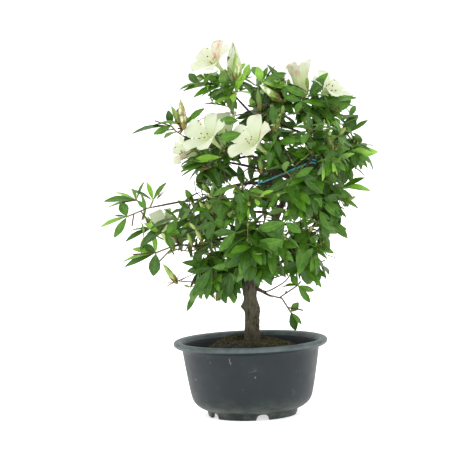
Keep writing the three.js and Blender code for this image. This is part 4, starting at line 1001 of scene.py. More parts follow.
# Where the crown is open, seen from the front: middle to the right and up, half width and half height. The
# first are open to the sky. Behind the others leaves begin again, so far back.
SKY = 300
SKY_OPENINGS = [
    (32, 114, 16, 14), (30, 142, 10, 6), (44, 146, 10, 5), (84, 116, 18, 22), (110, 168, 17, 24),
    (-84, 180, 18, 12), (-98, 140, 26, 12), (-100, 203, 5, 4), (-52, 122, 22, 14), (-92, 246, 8, 5),
    (-84, 282, 28, 10), (-104, 304, 26, 17), (2, 366, 8, 12), (-48, 366, 10, 5), (13, 235, 9, 5),
    (-20, 256, 4, 5), (-58, 206, 6, 4), (118, 404, 34, 27), (64, 418, 28, 24), (146, 326, 10, 14),
    (80, 213, 7, 9), (87, 181, 9, 5), (105, 191, 9, 12), (-71, 167, 12, 8)]
OPENINGS = np.array([*[(*form, SKY) for form in SKY_OPENINGS],
                     (48, 336, 8, 8, 20), (-28, 282, 24, 8, 14), (12, 272, 34, 9, 4), (40, 244, 5, 9, 12),
                     (27, 217, 5, 5, 12), (-7, 412, 8, 20, -4), (-46, 332, 24, 25, -30),
                     (5, 328, 26, 27, -50), (68, 395, 13, 16, 0)])
SLOPE = 0.07


def front_view(place):
    """A point as the front view shows it, which looks down a little: to the right, up, and back."""
    return place[0], place[2] + SLOPE * place[1], place[1]


def in_opening(places):
    """Whether any of some points lies in an opening of the crown."""
    seen = np.array([front_view(p) for p in places])[:, None, :]
    inside = (((seen[..., :2] - OPENINGS[:, :2]) / OPENINGS[:, 2:4]) ** 2).sum(2) < 1
    return bool((inside & (seen[..., 2] < OPENINGS[:, 4])).any())


print("openings:", len(OPENINGS), "stretches of limb:", len(STRETCH_R))

# %% The tie wire, and the room before it
# Where the loop is on the trunk and the hook on the far left bough, how many turns each has and how far it
# rises on the way, in millimetres.
WIRE_RADIUS, WIRE_ROOM, WIRE_STEPS, BEHIND_WIRE = 0.95, 0.45, 9, 3
LOOP = {"height": 292, "turns": 1.2, "rise": 4.5}
HOOK = {"share": 0.24, "turns": 0.7, "rise": -2}


def wound(limb, share, turns, rise, room, steps, from_front=False):
    """Points on turns round a limb, clear of its skin by a room, with a number of steps to the turn."""
    centre, axis = limb.at(share), limb.heading(share)
    side = (Vector((0, -1, 0)) + axis * axis.y if from_front else axis.orthogonal()).normalized()
    radius = limb.radius_at(share, centre) * 1.05 + room
    count = math.ceil(abs(turns) * steps)
    return [centre + (Matrix.Rotation(i / count * turns * 2 * math.pi, 3, axis) @ side) * radius
            + axis * rise * i / count for i in range(count + 1)]


stock = limbs["trunk"]
loop, hook = [wound(limb, share, form["turns"], form["rise"], WIRE_RADIUS + WIRE_ROOM, WIRE_STEPS, True)
              for limb, share, form in ((stock, stock.share_at(LOOP["height"]), LOOP),
                                        (limbs["far_left"], HOOK["share"], HOOK))]
route = [(Vector(p), WIRE_RADIUS) for p in centripetal([*reversed(loop), *hook], 5)]
WIRE = np.array([front_view(p) for p, _ in route])


def side_of(p, q, r):
    """Positive where r is to the left of the line from p to q, and negative to the right."""
    (px, py), (qx, qy), (rx, ry) = ((v[..., 0], v[..., 1]) for v in (p, q, r))
    return (qx - px) * (ry - py) - (qy - py) * (rx - px)


def hides_wire(corners):
    """Whether a leaf, given by the four corners of its outline, stands before the tie wire."""
    seen = np.array([front_view(c) for c in corners])
    if seen[:, 2].mean() > WIRE[:, 2].max() + BEHIND_WIRE:
        return False
    a, b = seen[None], np.roll(seen, -1, 0)[None]
    start, end = WIRE[:-1, None, :2], WIRE[1:, None, :2]
    crossed = ((side_of(start, end, a) * side_of(start, end, b) < 0)
               & (side_of(a, b, start) * side_of(a, b, end) < 0))
    return bool(crossed.any())


print("wire points:", len(WIRE))

# %% Twigs
# In millimetres: a twig's tip, the longest step of its bend, the stem off the bough, the nearest fork, and
# the clear room beside a twig and at its end. growth is the pipe rule's power, and sag a share of the reach.
# bend, run and room are what a turn, a long way and a used fork cost a twig that picks where to grow from.
TWIG = {"tip": 0.55, "lone_tip": 0.95, "step": 32, "stem": 9, "growth": 2.3, "sag": 0.08, "forks": 3,
        "nearest": 6, "bend": 0.5, "run": 0.15, "room": 9, "clear": 1.9, "end_clear": 5}
# For the solid's shoots and the finer ones: how far ends stay inside a space's skin, and by how much a twig
# and an end must be nearer to their own centre than to another. A negative margin lets neighbours mingle.
FIRST = {"leaf": 27, "twig": 0.03, "end": 0.15}
FINER = {"leaf": 16, "twig": -0.3, "end": -0.2, "apart": 10}
# A space's empty middle and least width, tries for each shoot, and the steps that spread ends evenly.
REACH = {"inner": 0.3, "least": 0.35, "tries": 4, "fine_tries": 9,
         "steps": (0.8191725134, 0.6710436067, 0.5497004779)}
# How many finer shoots a space carries, and the seed that deals them.
FINE = {"top_left": (6, 122), "top": (9, 124), "top_right": (13, 101), "right_upper": (13, 177),
        "right": (10, 210), "right_lower": (10, 218), "right_low": (0, 100), "front_centre": (13, 187),
        "left_middle": (9, 181), "left_shoot": (1, 161), "front_upper": (13, 147),
        "left_centre": (12, 137), "far_left": (1, 131), "left_lower": (3, 137), "left_low": (13, 137),
        "front_low": (13, 159), "front_right": (13, 155), "front_left": (11, 217), "back_top": (12, 105),
        "back_right": (10, 100), "back_left": (12, 137), "back_centre": (10, 130), "back_low": (12, 109),
        "back_low_left": (10, 110), "back_low_right": (10, 122)}
# How many bare twigs of old wood a space has, which show in the gaps, and how they are dealt.
OLD_WOOD = {"left_middle": 24, "left_centre": 14, "front_upper": 10, "front_centre": 8, "right_lower": 9,
            "left_lower": 6, "left_low": 6, "right": 5, "top_right": 6, "top": 6, "front_left": 8}
OLD = {"usual": 3, "seed": 71, "phases": (0.13, 0.57, 0.31), "shift": (-6, 6)}


class Twigs:
    """The twigs of one space, as points that know the point they grow from."""

    def __init__(self, name):
        self.name = name
        self.centre, self.radii, self.tips, self.droop, seed, *named = SPACES[name]
        self.named = [Vector(p) for p in named[0]] if named else []
        self.sprays = [Vector(place) for space, place, _ in SPRAYS if space == name]
        self.lone = name in LONE
        self.more, fine_seed = FINE[name]
        self.dice, self.fine = Dice(seed), Dice(fine_seed)
        limb = limbs.get(name, limbs["trunk"])
        tip, heading = limb.at(1), limb.heading(1)
        self.stem = limb.radius_at(1, tip)
        self.place, self.heading, self.parent, self.run, self.forks = [], [], [], [], []
        self.paths, self.shoots = [], []
        self.add_point(tip + heading * 0.3, heading, -1)
        self.paths.append([0, self.add_stretch(0, tip + heading * TWIG["stem"])])

    def add_point(self, place, heading, parent):
        run = 0 if parent < 0 else self.run[parent] + (place - self.place[parent]).length
        for values, value in ((self.place, place), (self.heading, heading.normalized()),
                              (self.parent, parent), (self.run, run), (self.forks, 0)):
            values.append(value)
        return len(self.place) - 1

    def add_stretch(self, parent, place):
        start, last = self.place[parent], parent
        for i in range(1, TWIG["forks"] + 1):
            last = self.add_point(start.lerp(place, i / TWIG["forks"]), place - start, last)
        return last

    def shoot_end(self, k, phases, rule):
        """The place of the shoot with number k, spread evenly through the space."""
        spread = [(phase + step * k) % 1 for phase, step in zip(phases, REACH["steps"])]
        height, turn = 1 - 2 * spread[0], 2 * math.pi * spread[1]
        away = (REACH["inner"] ** 3 + (1 - REACH["inner"] ** 3) * spread[2]) ** (1 / 3)
        flat = math.sqrt(1 - height * height)
        rx, ry, rz = [max(r - rule["leaf"], r * REACH["least"]) * away for r in self.radii]
        return Vector(self.centre) + Vector((flat * math.cos(turn) * rx, flat * math.sin(turn) * ry,
                                             height * rz))

    def best_parent(self, place):
        """The point that is cheapest to grow from: near, not bent back, near the stem and not yet forked."""
        best, least = self.paths[0][1], math.inf
        for i in range(1, len(self.place)):
            reach = place - self.place[i]
            distance = reach.length
            if distance < TWIG["nearest"]:
                continue
            bend = 1 - reach.dot(self.heading[i]) / distance
            cost = distance * (1 + TWIG["bend"] * bend)
            cost = cost + TWIG["run"] * self.run[i] + TWIG["room"] * self.forks[i]
            if cost < least:
                least, best = cost, i
        return best

    def grow(self, place, rule=None):
        """Grows a twig and gives its last point, or None where it would break a rule."""
        parent = self.best_parent(place)
        start = self.place[parent]
        reach = (place - start).length
        middle = start + ((place - start).normalized() + self.heading[parent]).normalized() * reach * 0.5
        middle -= UP * TWIG["sag"] * reach
        steps = max(1, round(reach / TWIG["step"]))
        shares = [i / steps for i in range(steps + 1)]
        ends = [start * (1 - t) ** 2 + middle * 2 * t * (1 - t) + place * t * t for t in shares]
        for before, after in zip(ends, ends[1:]):
            if rule and (not in_own_space(self.name, after, rule["twig"]) or in_bloom_room(after)
                         or touches_limb(before.lerp(after, 0.15), after, TWIG["clear"])):
                return None
        path = [parent]
        for end in ends[1:]:
            path.append(self.add_stretch(path[-1], end))
        self.forks[parent] += 1
        self.paths.append(path)
        return path[-1]

    def fits(self, end, rule):
        """Whether a shoot may end at a place."""
        return (in_own_space(self.name, end, rule["end"]) and not in_bloom_room(end)
                and not touches_limb(end, end, TWIG["end_clear"])
                and (rule is FIRST or not in_opening([end])))

    def keep(self, tip):
        if tip is not None:
            self.shoots.append(tip)

    def grow_first(self):
        """The shoots of the solid and the named sprays, then the stalks of flowers and buds."""
        phases = [self.dice.roll() for _ in range(3)]
        start = self.place[self.paths[0][1]]
        ends = self.named + [self.shoot_end(k, phases, FIRST) for k in range(self.tips * REACH["tries"])]
        first = self.sprays if self.lone else [end for end in ends if self.fits(end, FIRST)][:self.tips]
        for end in sorted(first, key=lambda e: (e - start).length):
            self.keep(self.grow(end, None if self.lone else FIRST))
        stalks = [Vector(bloom[1]) for bloom in [*FLOWERS, *BUDS] if bloom[0] == self.name]
        for place in [*([] if self.lone else self.sprays), *stalks]:
            self.grow(place)
        self.whole = len(self.shoots)

    def grow_finer(self):
        """The finer shoots, then the bare twigs of old wood."""
        phases = [self.fine.roll() for _ in range(3)]
        for k in range(self.more * REACH["fine_tries"]):
            if len(self.shoots) >= self.whole + self.more:
                break
            end = self.shoot_end(k, phases, FINER)
            near = min(((self.place[i] - end).length for i in self.shoots), default=math.inf)
            if near > FINER["apart"] and self.fits(end, FINER):
                self.keep(self.grow(end, FINER))
        old = Dice(OLD["seed"])
        for k in range(OLD_WOOD.get(self.name, OLD["usual"])):
            shift = Vector((old.between(*OLD["shift"]), 0, old.between(*OLD["shift"])))
            end = self.shoot_end(k, OLD["phases"], FINER) + shift
            if in_own_space(self.name, end, FINER["end"]):
                self.grow(end, FINER)

    def thicknesses(self):
        """Radii by the pipe rule: a stretch carries the sum of what grows from it."""
        load = [0.0] * len(self.place)
        thin = TWIG["lone_tip" if self.lone else "tip"]
        for i in range(len(self.place) - 1, 0, -1):
            load[i] = max(load[i], thin ** TWIG["growth"])
            load[self.parent[i]] += load[i]
        return [min(self.stem, max(thin, s ** (1 / TWIG["growth"]))) for s in load]


crown = {}
for name in NAMES:
    crown[name] = Twigs(name)
    crown[name].grow_first()
    crown[name].grow_finer()
print("shoots:", sum(len(t.shoots) for t in crown.values()))

# %% [markdown]
# ### Twigs as tubes
# A curve object with a round bevel turns any number of lines into tubes, with a radius at each point, so it
# is the quickest way to thousands of twigs. It is made a mesh at the end, as all finished pieces are.

# %% Tubes from lines
def tubes(name, lines, resolution=1):
    """One mesh of round tubes. Each line is a list of (place, radius) in millimetres."""
    curve = bpy.data.curves.new(name, "CURVE")
    curve.dimensions = "3D"
    curve.bevel_depth = MM
    curve.bevel_resolution = resolution
    curve.use_fill_caps = True
    for line in lines:
        spline = curve.splines.new("POLY")
        spline.points.add(len(line) - 1)
        for point, (place, radius) in zip(spline.points, line):
            point.co = (*(place * MM), 1)
            point.radius = radius
    thing = link(name, curve)
    mesh = bpy.data.meshes.new_from_object(thing.evaluated_get(bpy.context.evaluated_depsgraph_get()))
    bpy.data.objects.remove(thing)
    bpy.data.curves.remove(curve)
    mesh.name = name
    mesh.shade_smooth()
    return mesh


def twig_line(twigs, path, radii, parts=4):
    """A path of points as a smooth line whose radius tapers from the fork to the tip."""
    places = centripetal([twigs.place[i] for i in path], parts)
    thick = [radii[path[1]], *[radii[i] for i in path[1:]]]
    return [(Vector(p), float(np.interp(j / parts, range(len(thick)), thick))) for j, p in enumerate(places)]


# Long bare twigs that show against the sky: their points, then the thickness at either end.
LONG_TWIGS = [
    ([(11, -4, 148), (20, -5, 144), (34, -8, 150), (44, -12, 157), (51, -16, 168)], 1.1, 0.7),
    ([(7, -6, 159), (25, -10, 159), (39, -14, 163), (52, -18, 168)], 1.0, 0.6),
    ([(-84, -14, 161), (-68, -13, 159), (-53, -12, 159), (-37, -10, 166)], 0.8, 1.0),
    ([(-83, -12, 198), (-71, -12, 195), (-60, -12, 196), (-43, -10, 203)], 0.7, 1.1),
]
# How much of a shoot is young and green, and how far that stands out of the wood, in millimetres.
YOUNG = {"length": 17, "proud": 0.12}
woody, green = [], []
for points, start, end in LONG_TWIGS:
    places = centripetal(points, 6)
    woody.append([(Vector(p), start + (end - start) * i / len(places)) for i, p in enumerate(places)])
for twigs in crown.values():
    radii = twigs.thicknesses()
    leafy = set(twigs.shoots)
    for path in twigs.paths:
        line = twig_line(twigs, path, radii)
        woody.append(line)
        if path[-1] in leafy:
            tip = twigs.place[path[-1]]
            young = [(p, r + YOUNG["proud"]) for p, r in line if (p - tip).length < YOUNG["length"]]
            if len(young) > 1:
                green.append(young)
dress(link("twigs", tubes("twigs", woody)), [], "bark",
      bark_finish("twig_bark", (84, 62, 44), (104, 84, 62), (52, 38, 28), (128, 110, 88)))
dress(link("young_shoots", tubes("young_shoots", green)), [], "leaf",
      mottled("young_bark", 0.6, (120, 3), (112, 122, 52), (122, 96, 60), relief=((900, 3), 0.0003, 0.4)))

# %% [markdown]
# ## Leaves
# A leaf is an ellipse with a pointed tip, folded a little along its rib, arching as it goes out. One is
# modelled from a grid: its rows are drawn in to the outline, the rib is lowered, and a second sheet under the
# first closes it. The copies then differ in length, width, arch and twist, which arrays can do and instances
# cannot.

# %% One leaf
STATIONS = [0.0, 0.07, 0.22, 0.45, 0.66, 0.84, 0.95, 1.0]
HALF_WIDTHS = [0.05, 0.13, 0.56, 0.96, 0.98, 0.6, 0.26, 0.0]
# How high the edges stand over the rib and how thick the rib is, as shares of the width.
FOLD, RIB = 0.13, 0.045
bm = bmesh.new()
bmesh.ops.create_grid(bm, x_segments=len(STATIONS) - 1, y_segments=2, size=0.5)
for vert in bm.verts:
    row = round((vert.co.x + 0.5) * (len(STATIONS) - 1))
    side = round(vert.co.y * 2)
    vert.co = (STATIONS[row], side * 0.5 * HALF_WIDTHS[row], abs(side) * FOLD * HALF_WIDTHS[row])
under = bmesh.ops.duplicate(bm, geom=bm.verts[:] + bm.edges[:] + bm.faces[:])["geom"]
under_faces = [g for g in under if isinstance(g, bmesh.types.BMFace)]
bmesh.ops.reverse_faces(bm, faces=under_faces)
for face in under_faces:
    face.material_index = 1
for vert in {v for f in under_faces for v in f.verts}:
    if abs(vert.co.y) < 1e-6 and 0 < vert.co.x < 1:
        vert.co.z -= RIB
bmesh.ops.remove_doubles(bm, verts=bm.verts[:], dist=1e-5)
bm.normal_update()
leaf_side = [f.material_index for f in bm.faces]
leaf_points = np.array([v.co[:] for v in bm.verts])
leaf_faces = [[v.index for v in f.verts] for f in bm.faces]
edge = np.maximum(0.5 * np.interp(leaf_points[:, 0], STATIONS, HALF_WIDTHS), 1e-3)
leaf_rib = 1 - np.minimum(1, np.abs(leaf_points[:, 1]) / edge)
bm.free()
print("leaf faces:", len(leaf_faces))

# %% Where leaves stand
# A whorl on the solid's shoots and on finer ones, in millimetres and degrees. tilt is how far its first and
# last leaf open, jitter is added to it, margin is a leaf's claim to its space, and rise turns a shoot up.
LEAF = {"length": (29.5, 40), "width": 0.365, "count": 7, "spacing": 2.4, "tilt": (44, 96), "jitter": 4,
        "margin": 0.03}
FINE_LEAF = {"count": (4, 7), "spacing": (2.5, 5), "tilt": (38, 100), "jitter": 12, "margin": -0.4,
             "rise": 0.7, "size": (0.72, 1.0)}
# What all whorls share. tries are sizes tried in turn, and alike is how many leaves keep the whorl's colour.
WHORL = {"start": 0.6, "arch": (0.08, 0.3), "twist": (-0.5, 0.5), "widths": (0.88, 1.14),
         "tries": (1, 0.8, 0.62), "first": 0.8, "alike": 0.75}
# How large a space's leaves are beside the solid's.
LEAF_SIZES = {"right_upper": 0.95, "right": 1.12, "right_lower": 1.15, "front_low": 1.1, "front_centre": 1.1,
              "right_low": 0.95, "left_centre": 0.76, "left_lower": 0.9, "top_left": 0.95, "far_left": 1.08,
              "left_middle": 0.74, "left_low": 1.02, "top": 0.98, "left_shoot": 0.95}
USUAL_SIZE = 0.92
# The share of shoots with new leaves, and how many of the others are middle green.
FRESH = {"far_left": 0.6, "right_low": 0.7, "left_shoot": 0.5, "left_lower": 0.4, "top_left": 0.3, "top": 0.3,
         "top_right": 0.2}
USUAL_FRESH, MID_SHARE = 0.06, 0.5
NEIGHBOUR = {DEEP_AND_SHADE: MID, MID: DEEP_AND_SHADE, NEW: MID}
leaves, leaf_looks = [], []


def lay_leaf(root, lean, upper, length, width, arch, twist, look, name=None, margin=0.0):
    """Adds a leaf. With a name it has to stay in that space, clear of limbs, flowers, wire and openings."""
    x = lean.normalized()
    y = upper.cross(x).normalized()
    turn = Matrix((x, y, x.cross(y))).transposed()
    if name:
        tip, left, right = [root + turn @ Vector(c) for c in (
            (length, 0, -arch * length), (length * 0.45, width / 2, 0), (length * 0.45, -width / 2, 0))]
        if not all(in_own_space(name, c, margin) and not in_bloom_room(c) for c in (tip, left, right)):
            return False
        foot = root + turn @ Vector((3, 0, 0))
        if touches_limb(foot, tip, width * 0.3) or hides_wire([root, left, tip, right]):
            return False
        if in_opening([tip, left, right, root.lerp(tip, 0.5), root.lerp(tip, 0.75)]):
            return False
    x, y, z = leaf_points.T
    angle = twist * x
    side, rise = y * width, z * width
    local = np.stack([x * length * (1 - 0.12 * arch * x), side * np.cos(angle) - rise * np.sin(angle),
                      side * np.sin(angle) + rise * np.cos(angle) - arch * length * x * x], 1)
    leaves.append(local @ np.array(turn).T + np.array(root))
    leaf_looks.append([UNDER if s else look for s in leaf_side])
    return True


def shade_of(twigs):
    """The colour of one shoot's leaves."""
    if twigs.fine.roll() < FRESH.get(twigs.name, USUAL_FRESH):
        return NEW
    return MID if twigs.fine.roll() < MID_SHARE else DEEP_AND_SHADE


def shoot_leaves(twigs, tip, whole):
    """A whorl of leaves round a shoot's end, opening further from the shoot the older they are."""
    place, heading, fine = twigs.place[tip], twigs.heading[tip], twigs.fine
    dice, form = (twigs.dice, LEAF) if whole else (fine, FINE_LEAF)
    if whole:
        count, spacing = form["count"], form["spacing"]
    else:
        heading = (heading + UP * form["rise"]).normalized()
        count, spacing = round(fine.between(*form["count"])), fine.between(*form["spacing"])
    (low, high), jitter = form["tilt"], form["jitter"]
    side = Vector((1, 0, 0)).cross(heading).normalized()
    start = dice.roll() * 2 * math.pi
    upper = heading + UP * 0.8
    look = shade_of(twigs)
    for i in range(count):
        out = Matrix.Rotation(start + i * GOLDEN_ANGLE, 3, heading) @ side
        opened = math.radians(low + (high - low) * i / (count - 1) + dice.between(-jitter, jitter))
        length = dice.between(*LEAF["length"])
        lean = heading * math.cos(opened) + out * math.sin(opened)
        lean = (lean - UP * twigs.droop * (0.8 + 0.2 * dice.roll())).normalized()
        root = place - heading * (WHORL["start"] + i * spacing)
        arch, twist = fine.between(*WHORL["arch"]), fine.between(*WHORL["twist"])
        length *= LEAF_SIZES.get(twigs.name, USUAL_SIZE) * (1 if whole else fine.between(*form["size"]))
        shade = look if fine.roll() < WHORL["alike"] else NEIGHBOUR[look]
        for share in WHORL["tries"]:
            size = length * share * (WHORL["first"] if i == 0 else 1)
            width = size * LEAF["width"] * fine.between(*WHORL["widths"])
            if lay_leaf(root, lean, upper, size, width, arch, twist, shade, twigs.name, form["margin"]):
                break


# How far a spray's leaves lean to front or back, less in the crown's front, how narrow they may be and twist.
SPRAY = {"lean": (-0.3, 0.3), "front": -60, "front_lean": 0.4, "narrow": 0.3, "twist": (-0.3, 0.3)}


def lay_spray(dice, place, blades):
    """Lays the leaves of a named spray, each turned so that it shows the width it has in the front view."""
    for bearing, length, seen, look, *arched in blades:
        arch = arched[0] if arched else SLIGHT_ARCH
        angle = math.radians(bearing)
        lean = dice.between(*SPRAY["lean"]) * (1 if place[1] > SPRAY["front"] else SPRAY["front_lean"])
        way = Vector((math.cos(angle), lean, math.sin(angle)))
        length *= way.length
        way.normalize()
        width = max(seen, length * SPRAY["narrow"])
        share = min(1.0, seen / width)
        above = (UP - way * way.z).normalized()
        upper = above * math.sqrt(1 - share * share) + Vector((0, -1, 0)) * share
        twist = dice.between(*SPRAY["twist"])
        lay_leaf(Vector(place), way + upper * arch, upper, length, width, arch, twist, look)


for twigs in crown.values():
    for i, tip in enumerate(twigs.shoots):
        if i >= twigs.whole or not twigs.lone:
            shoot_leaves(twigs, tip, i < twigs.whole)
spray_dice = Dice(909)
for _, place, blades in SPRAYS:
    lay_spray(spray_dice, place, blades)
print("leaves:", len(leaves))

# %% [markdown]
# Old leaves are a deep glossy green, this year's are yellower, and all are paler and duller underneath. The
# three upper colours are dealt out by whorl, as the plant does it. The deep green is also painted shade: its
# tint is that of leaves in the crown's shaded inside, and the sprays give it to leaves that lie in shade. A
# fine noise breaks each one up, with a soft gloss from low roughness and a bump like the net of veins.

# %% Leaf finishes
def leaf_finish(name, dark, light, rib_tint, roughness):
    finish = Finish(name, roughness)
    set_sockets(finish.shader, {"Specular IOR Level": 0.28})
    blade = finish.blend(finish.patches((160, 4, 0.6), 0.3, 0.7), dark, light)
    rib = finish.times(finish.step(finish.attribute("rib"), 0.8, 0.98), 0.3)
    finish.colour(finish.blend(rib, blade, rib_tint))
    finish.bump(finish.noise(700, 3, 0.6), 0.0003, 0.35)
    return finish


leaf_finishes = [
    # The first is the old leaves' deep green, which also serves as painted shade inside the crown.
    leaf_finish("leaf_deep_and_shade", (44, 80, 16), (62, 102, 26), (96, 132, 58), 0.34),
    leaf_finish("leaf_mid", (60, 106, 18), (84, 131, 32), (126, 166, 66), 0.36),
    leaf_finish("leaf_new", (114, 166, 44), (144, 192, 72), (170, 208, 112), 0.42),
    leaf_finish("leaf_under", (88, 124, 54), (112, 146, 74), (136, 166, 98), 0.6),
]
half = (len(leaves) + 1) // 2
foliage_nodes = [f"foliage_{name}" for name in NAMES]
for name, start, end, nodes in (("leaves_lower", 0, half, foliage_nodes), ("leaves_upper", half, None, [])):
    mesh = joined(name, leaf_faces, np.array(leaves[start:end]), leaf_looks[start:end], 70, leaf_rib)
    dress(link(name, mesh), nodes, "leaf", *leaf_finishes)

# %% [markdown]
# ## Flowers
# A satsuki flower is a funnel with five broad lobes that open flat and curl back at the edge. Each petal is a
# grid laid on the funnel: along it the radius opens out, across it the width follows the lobe. The throat is
# greenish yellow, and some petals have pink streaks and specks, so every petal carries its own UV map and
# a number for its share of pink.

# %% Petals
# The grid's cells, foot and thickness in millimetres, and the rest as shares of the flower's length: how far
# tube, mouth and throat open, a shut flower's belly, the lobe's half width and widest place, and its edge.
PETAL = {"across": 10, "along": 16, "thick": 0.35, "foot": 1.2, "tube": 0.22, "mouth": 0.4, "throat": 0.35,
         "belly": 2.4, "half": 0.245, "widest": 0.72, "curl": 0.09, "curl_from": 0.74, "cup": 0.05,
         "ruffle": 0.9, "shut_below": 0.3}


def petal_place(u, v, length, open_share, wave):
    """A point on a petal: u from -1 to 1 across it, v from 0 at the foot to 1 at the lobe's tip."""
    # The funnel: how far out the petal's middle line is, and how far forward.
    flare = smooth_share(v, 0.25, 1.0) ** 1.2
    spread = length * (0.3 + 0.7 * open_share)
    radius = PETAL["foot"] + spread * (PETAL["tube"] * v * v + PETAL["mouth"] * flare)
    radius += length * PETAL["throat"] * (1 - open_share) ** 2 * math.sin(math.pi * math.sqrt(v))
    shut = min(1.0, max(0.0, PETAL["shut_below"] - open_share) * 5)
    out_along = 1 - (1 - v) ** 1.8
    out_along += (v - out_along) * shut
    belly = length * (PETAL["belly"] * open_share - 0.03) * math.sin(math.pi * out_along ** 0.75)
    radius += (0.5 + belly - radius) * shut
    forward = length * (0.88 + 0.12 * (1 - open_share)) * out_along
    curled = max(0.0, v - PETAL["curl_from"]) / 0.26
    forward -= length * PETAL["curl"] * open_share * curled ** 2
    # The lobe: joined to its neighbours below, then as wide as its own outline.
    joined_half = radius * math.tan(math.pi / 5)
    lobe_half = length * PETAL["half"] * (0.55 + 0.45 * open_share) * (1 + 0.25 * shut)
    if v > PETAL["widest"]:
        lobe_half *= math.sqrt(max(0.0, 1 - ((v - PETAL["widest"]) / (1 - PETAL["widest"])) ** 1.9))
    across = u * min(joined_half, lobe_half)
    # Round where it is part of the tube, flat where it is a lobe, with a risen and ruffled edge.
    flat = smooth_share(v, 0.35, 0.6) * (1 - shut)
    angle = across / radius
    side = radius * math.sin(angle) * (1 - flat) + across * flat
    depth = radius * math.cos(angle) * (1 - flat) + radius * flat
    rim = u * u * smooth_share(v, 0.35, 0.8)
    ruffle = wave * PETAL["ruffle"] * math.sin(u * 4 + v * 8 + wave * 9) * rim
    return Vector((side, -depth, forward + ruffle + rim * length * PETAL["cup"]))


def add_petal(bm, turn, length, open_share, wave, pink, layers):
    """Adds one petal to a bmesh, its foot at the origin and the flower facing +Z."""
    made = bmesh.ops.create_grid(bm, x_segments=PETAL["across"], y_segments=PETAL["along"], size=1,
                                 calc_uvs=False)["verts"]
    rotate = Matrix.Rotation(turn, 3, "Z")
    uv, flush = layers
    grid = {v: (v.co.x, (v.co.y + 1) / 2) for v in made}
    for face in {f for v in made for f in v.link_faces}:
        for loop in face.loops:
            u, v = grid[loop.vert]
            loop[uv].uv = (0.5 + 0.5 * u, v)
    for vert, (u, v) in grid.items():
        vert.co = rotate @ petal_place(u, v, length, open_share, wave)
        vert[flush] = pink
    return made


flower_mesh = bmesh.new()
layers = (flower_mesh.loops.layers.uv.new("petal"), flower_mesh.verts.layers.float.new("pink"))
flower_dice = Dice(5)
stamen_lines, anthers = [], []


def facing_frame(place, facing, turn=0.0):
    """A frame at a place whose Z is the facing and whose -Y side is the upper one."""
    z = Vector(facing).normalized()
    y = -(UP - z * UP.dot(z)).normalized() if abs(z.z) < 0.98 else Vector((0, 1, 0))
    y = (y - z * y.dot(z)).normalized()
    turned = Matrix((y.cross(z), y, z)).transposed().to_4x4()
    return Matrix.Translation(Vector(place)) @ turned @ Matrix.Rotation(turn, 4, "Z")


# How petals vary, and a flower's stamens, the first of which is the pistil. They show from an open share on.
BLOOM = {"turn": (-0.12, 0.12), "wave": (0.4, 1.2), "length": (0.94, 1.04), "other_pink": 0.25, "petals": 5}
STAMEN = {"count": 6, "open": 0.66, "reach": (0.62, 0.78), "spread": (0.05, 0.17), "pistil": 0.98,
          "turn": (-0.3, 0.3), "sag": 0.12, "thick": (0.34, 0.1), "head": (0.8, 0.8, 1.4),
          "pistil_head": (0.9, 0.9, 0.7)}
petals = BLOOM["petals"]
for space, foot, facing, length, open_share, pink, pink_petal, turned in FLOWERS:
    at = facing_frame(foot, facing, math.radians(turned) + flower_dice.between(*BLOOM["turn"]))
    for i in range(petals):
        wave = flower_dice.between(*BLOOM["wave"])
        share = pink if i == pink_petal else pink * BLOOM["other_pink"] * flower_dice.roll()
        long = length * flower_dice.between(*BLOOM["length"])
        made = add_petal(flower_mesh, i * 2 * math.pi / petals, long, open_share, wave, share, layers)
        bmesh.ops.transform(flower_mesh, matrix=at, verts=made)
    for i in range(STAMEN["count"] if open_share > STAMEN["open"] else 0):
        spread = flower_dice.between(*STAMEN["spread"]) * (0.35 + open_share * 0.65)
        turn = i * 2 * math.pi / petals + flower_dice.between(*STAMEN["turn"])
        tall = length * (flower_dice.between(*STAMEN["reach"]) if i else STAMEN["pistil"])
        bow = Vector((math.sin(turn), -math.cos(turn), 0)) * spread * length
        line = []
        for t in (step / 8 for step in range(9)):
            sag = Vector((0, STAMEN["sag"] * length * open_share * t * (t - 0.6), 0))
            thick = STAMEN["thick"][0] - STAMEN["thick"][1] * t
            line.append((at @ (bow * t ** 1.6 + sag + Vector((0, 0, 2 + tall * t))), thick))
        stamen_lines.append(line)
        way = (line[-1][0] - line[-2][0]).normalized()
        anthers.append(stood(line[-1][0], way, STAMEN["head" if i else "pistil_head"], turn))

bmesh.ops.recalc_face_normals(flower_mesh, faces=flower_mesh.faces[:])
bmesh.ops.solidify(flower_mesh, geom=flower_mesh.faces[:], thickness=PETAL["thick"])
blossom = link("blossom", mesh_from(flower_mesh, "blossom", MM))

# %% Petal finish
petal = Finish("petal", 0.55)
along = petal.coordinate("Y", uv=True)
pink_share = petal.attribute("pink")
base = petal.ramp(along, [(0.0, (166, 184, 88)), (0.35, (190, 203, 140)), (0.6, (193, 202, 172)),
                          (1.0, (200, 206, 188))])
veins = petal.noise(34, 2, 0.5, (1, 0.12, 1), uv=True)
coloured = petal.blend(petal.times(petal.step(veins, 0.5, 0.72), 0.35), base, (204, 216, 170))
streaks = petal.patches((9, 4, 0.6, (1.6, 0.35, 1), True), 0.5, 0.66)
specks = petal.patches((42, 2, 0.5, (1, 1, 1), True), 0.6, 0.68)
# Streaks, then specks: how strong they are, where along the petal they begin, and their pink.
for marks, strength, begin, pink in ((streaks, 1.9, (0.35, 0.6), (206, 44, 94)),
                                     (specks, 1.4, (0.3, 0.55), (184, 34, 78))):
    share = petal.times(petal.times(pink_share, strength), petal.times(marks, petal.step(along, *begin)))
    coloured = petal.blend(share, coloured, pink)
petal.colour(coloured)
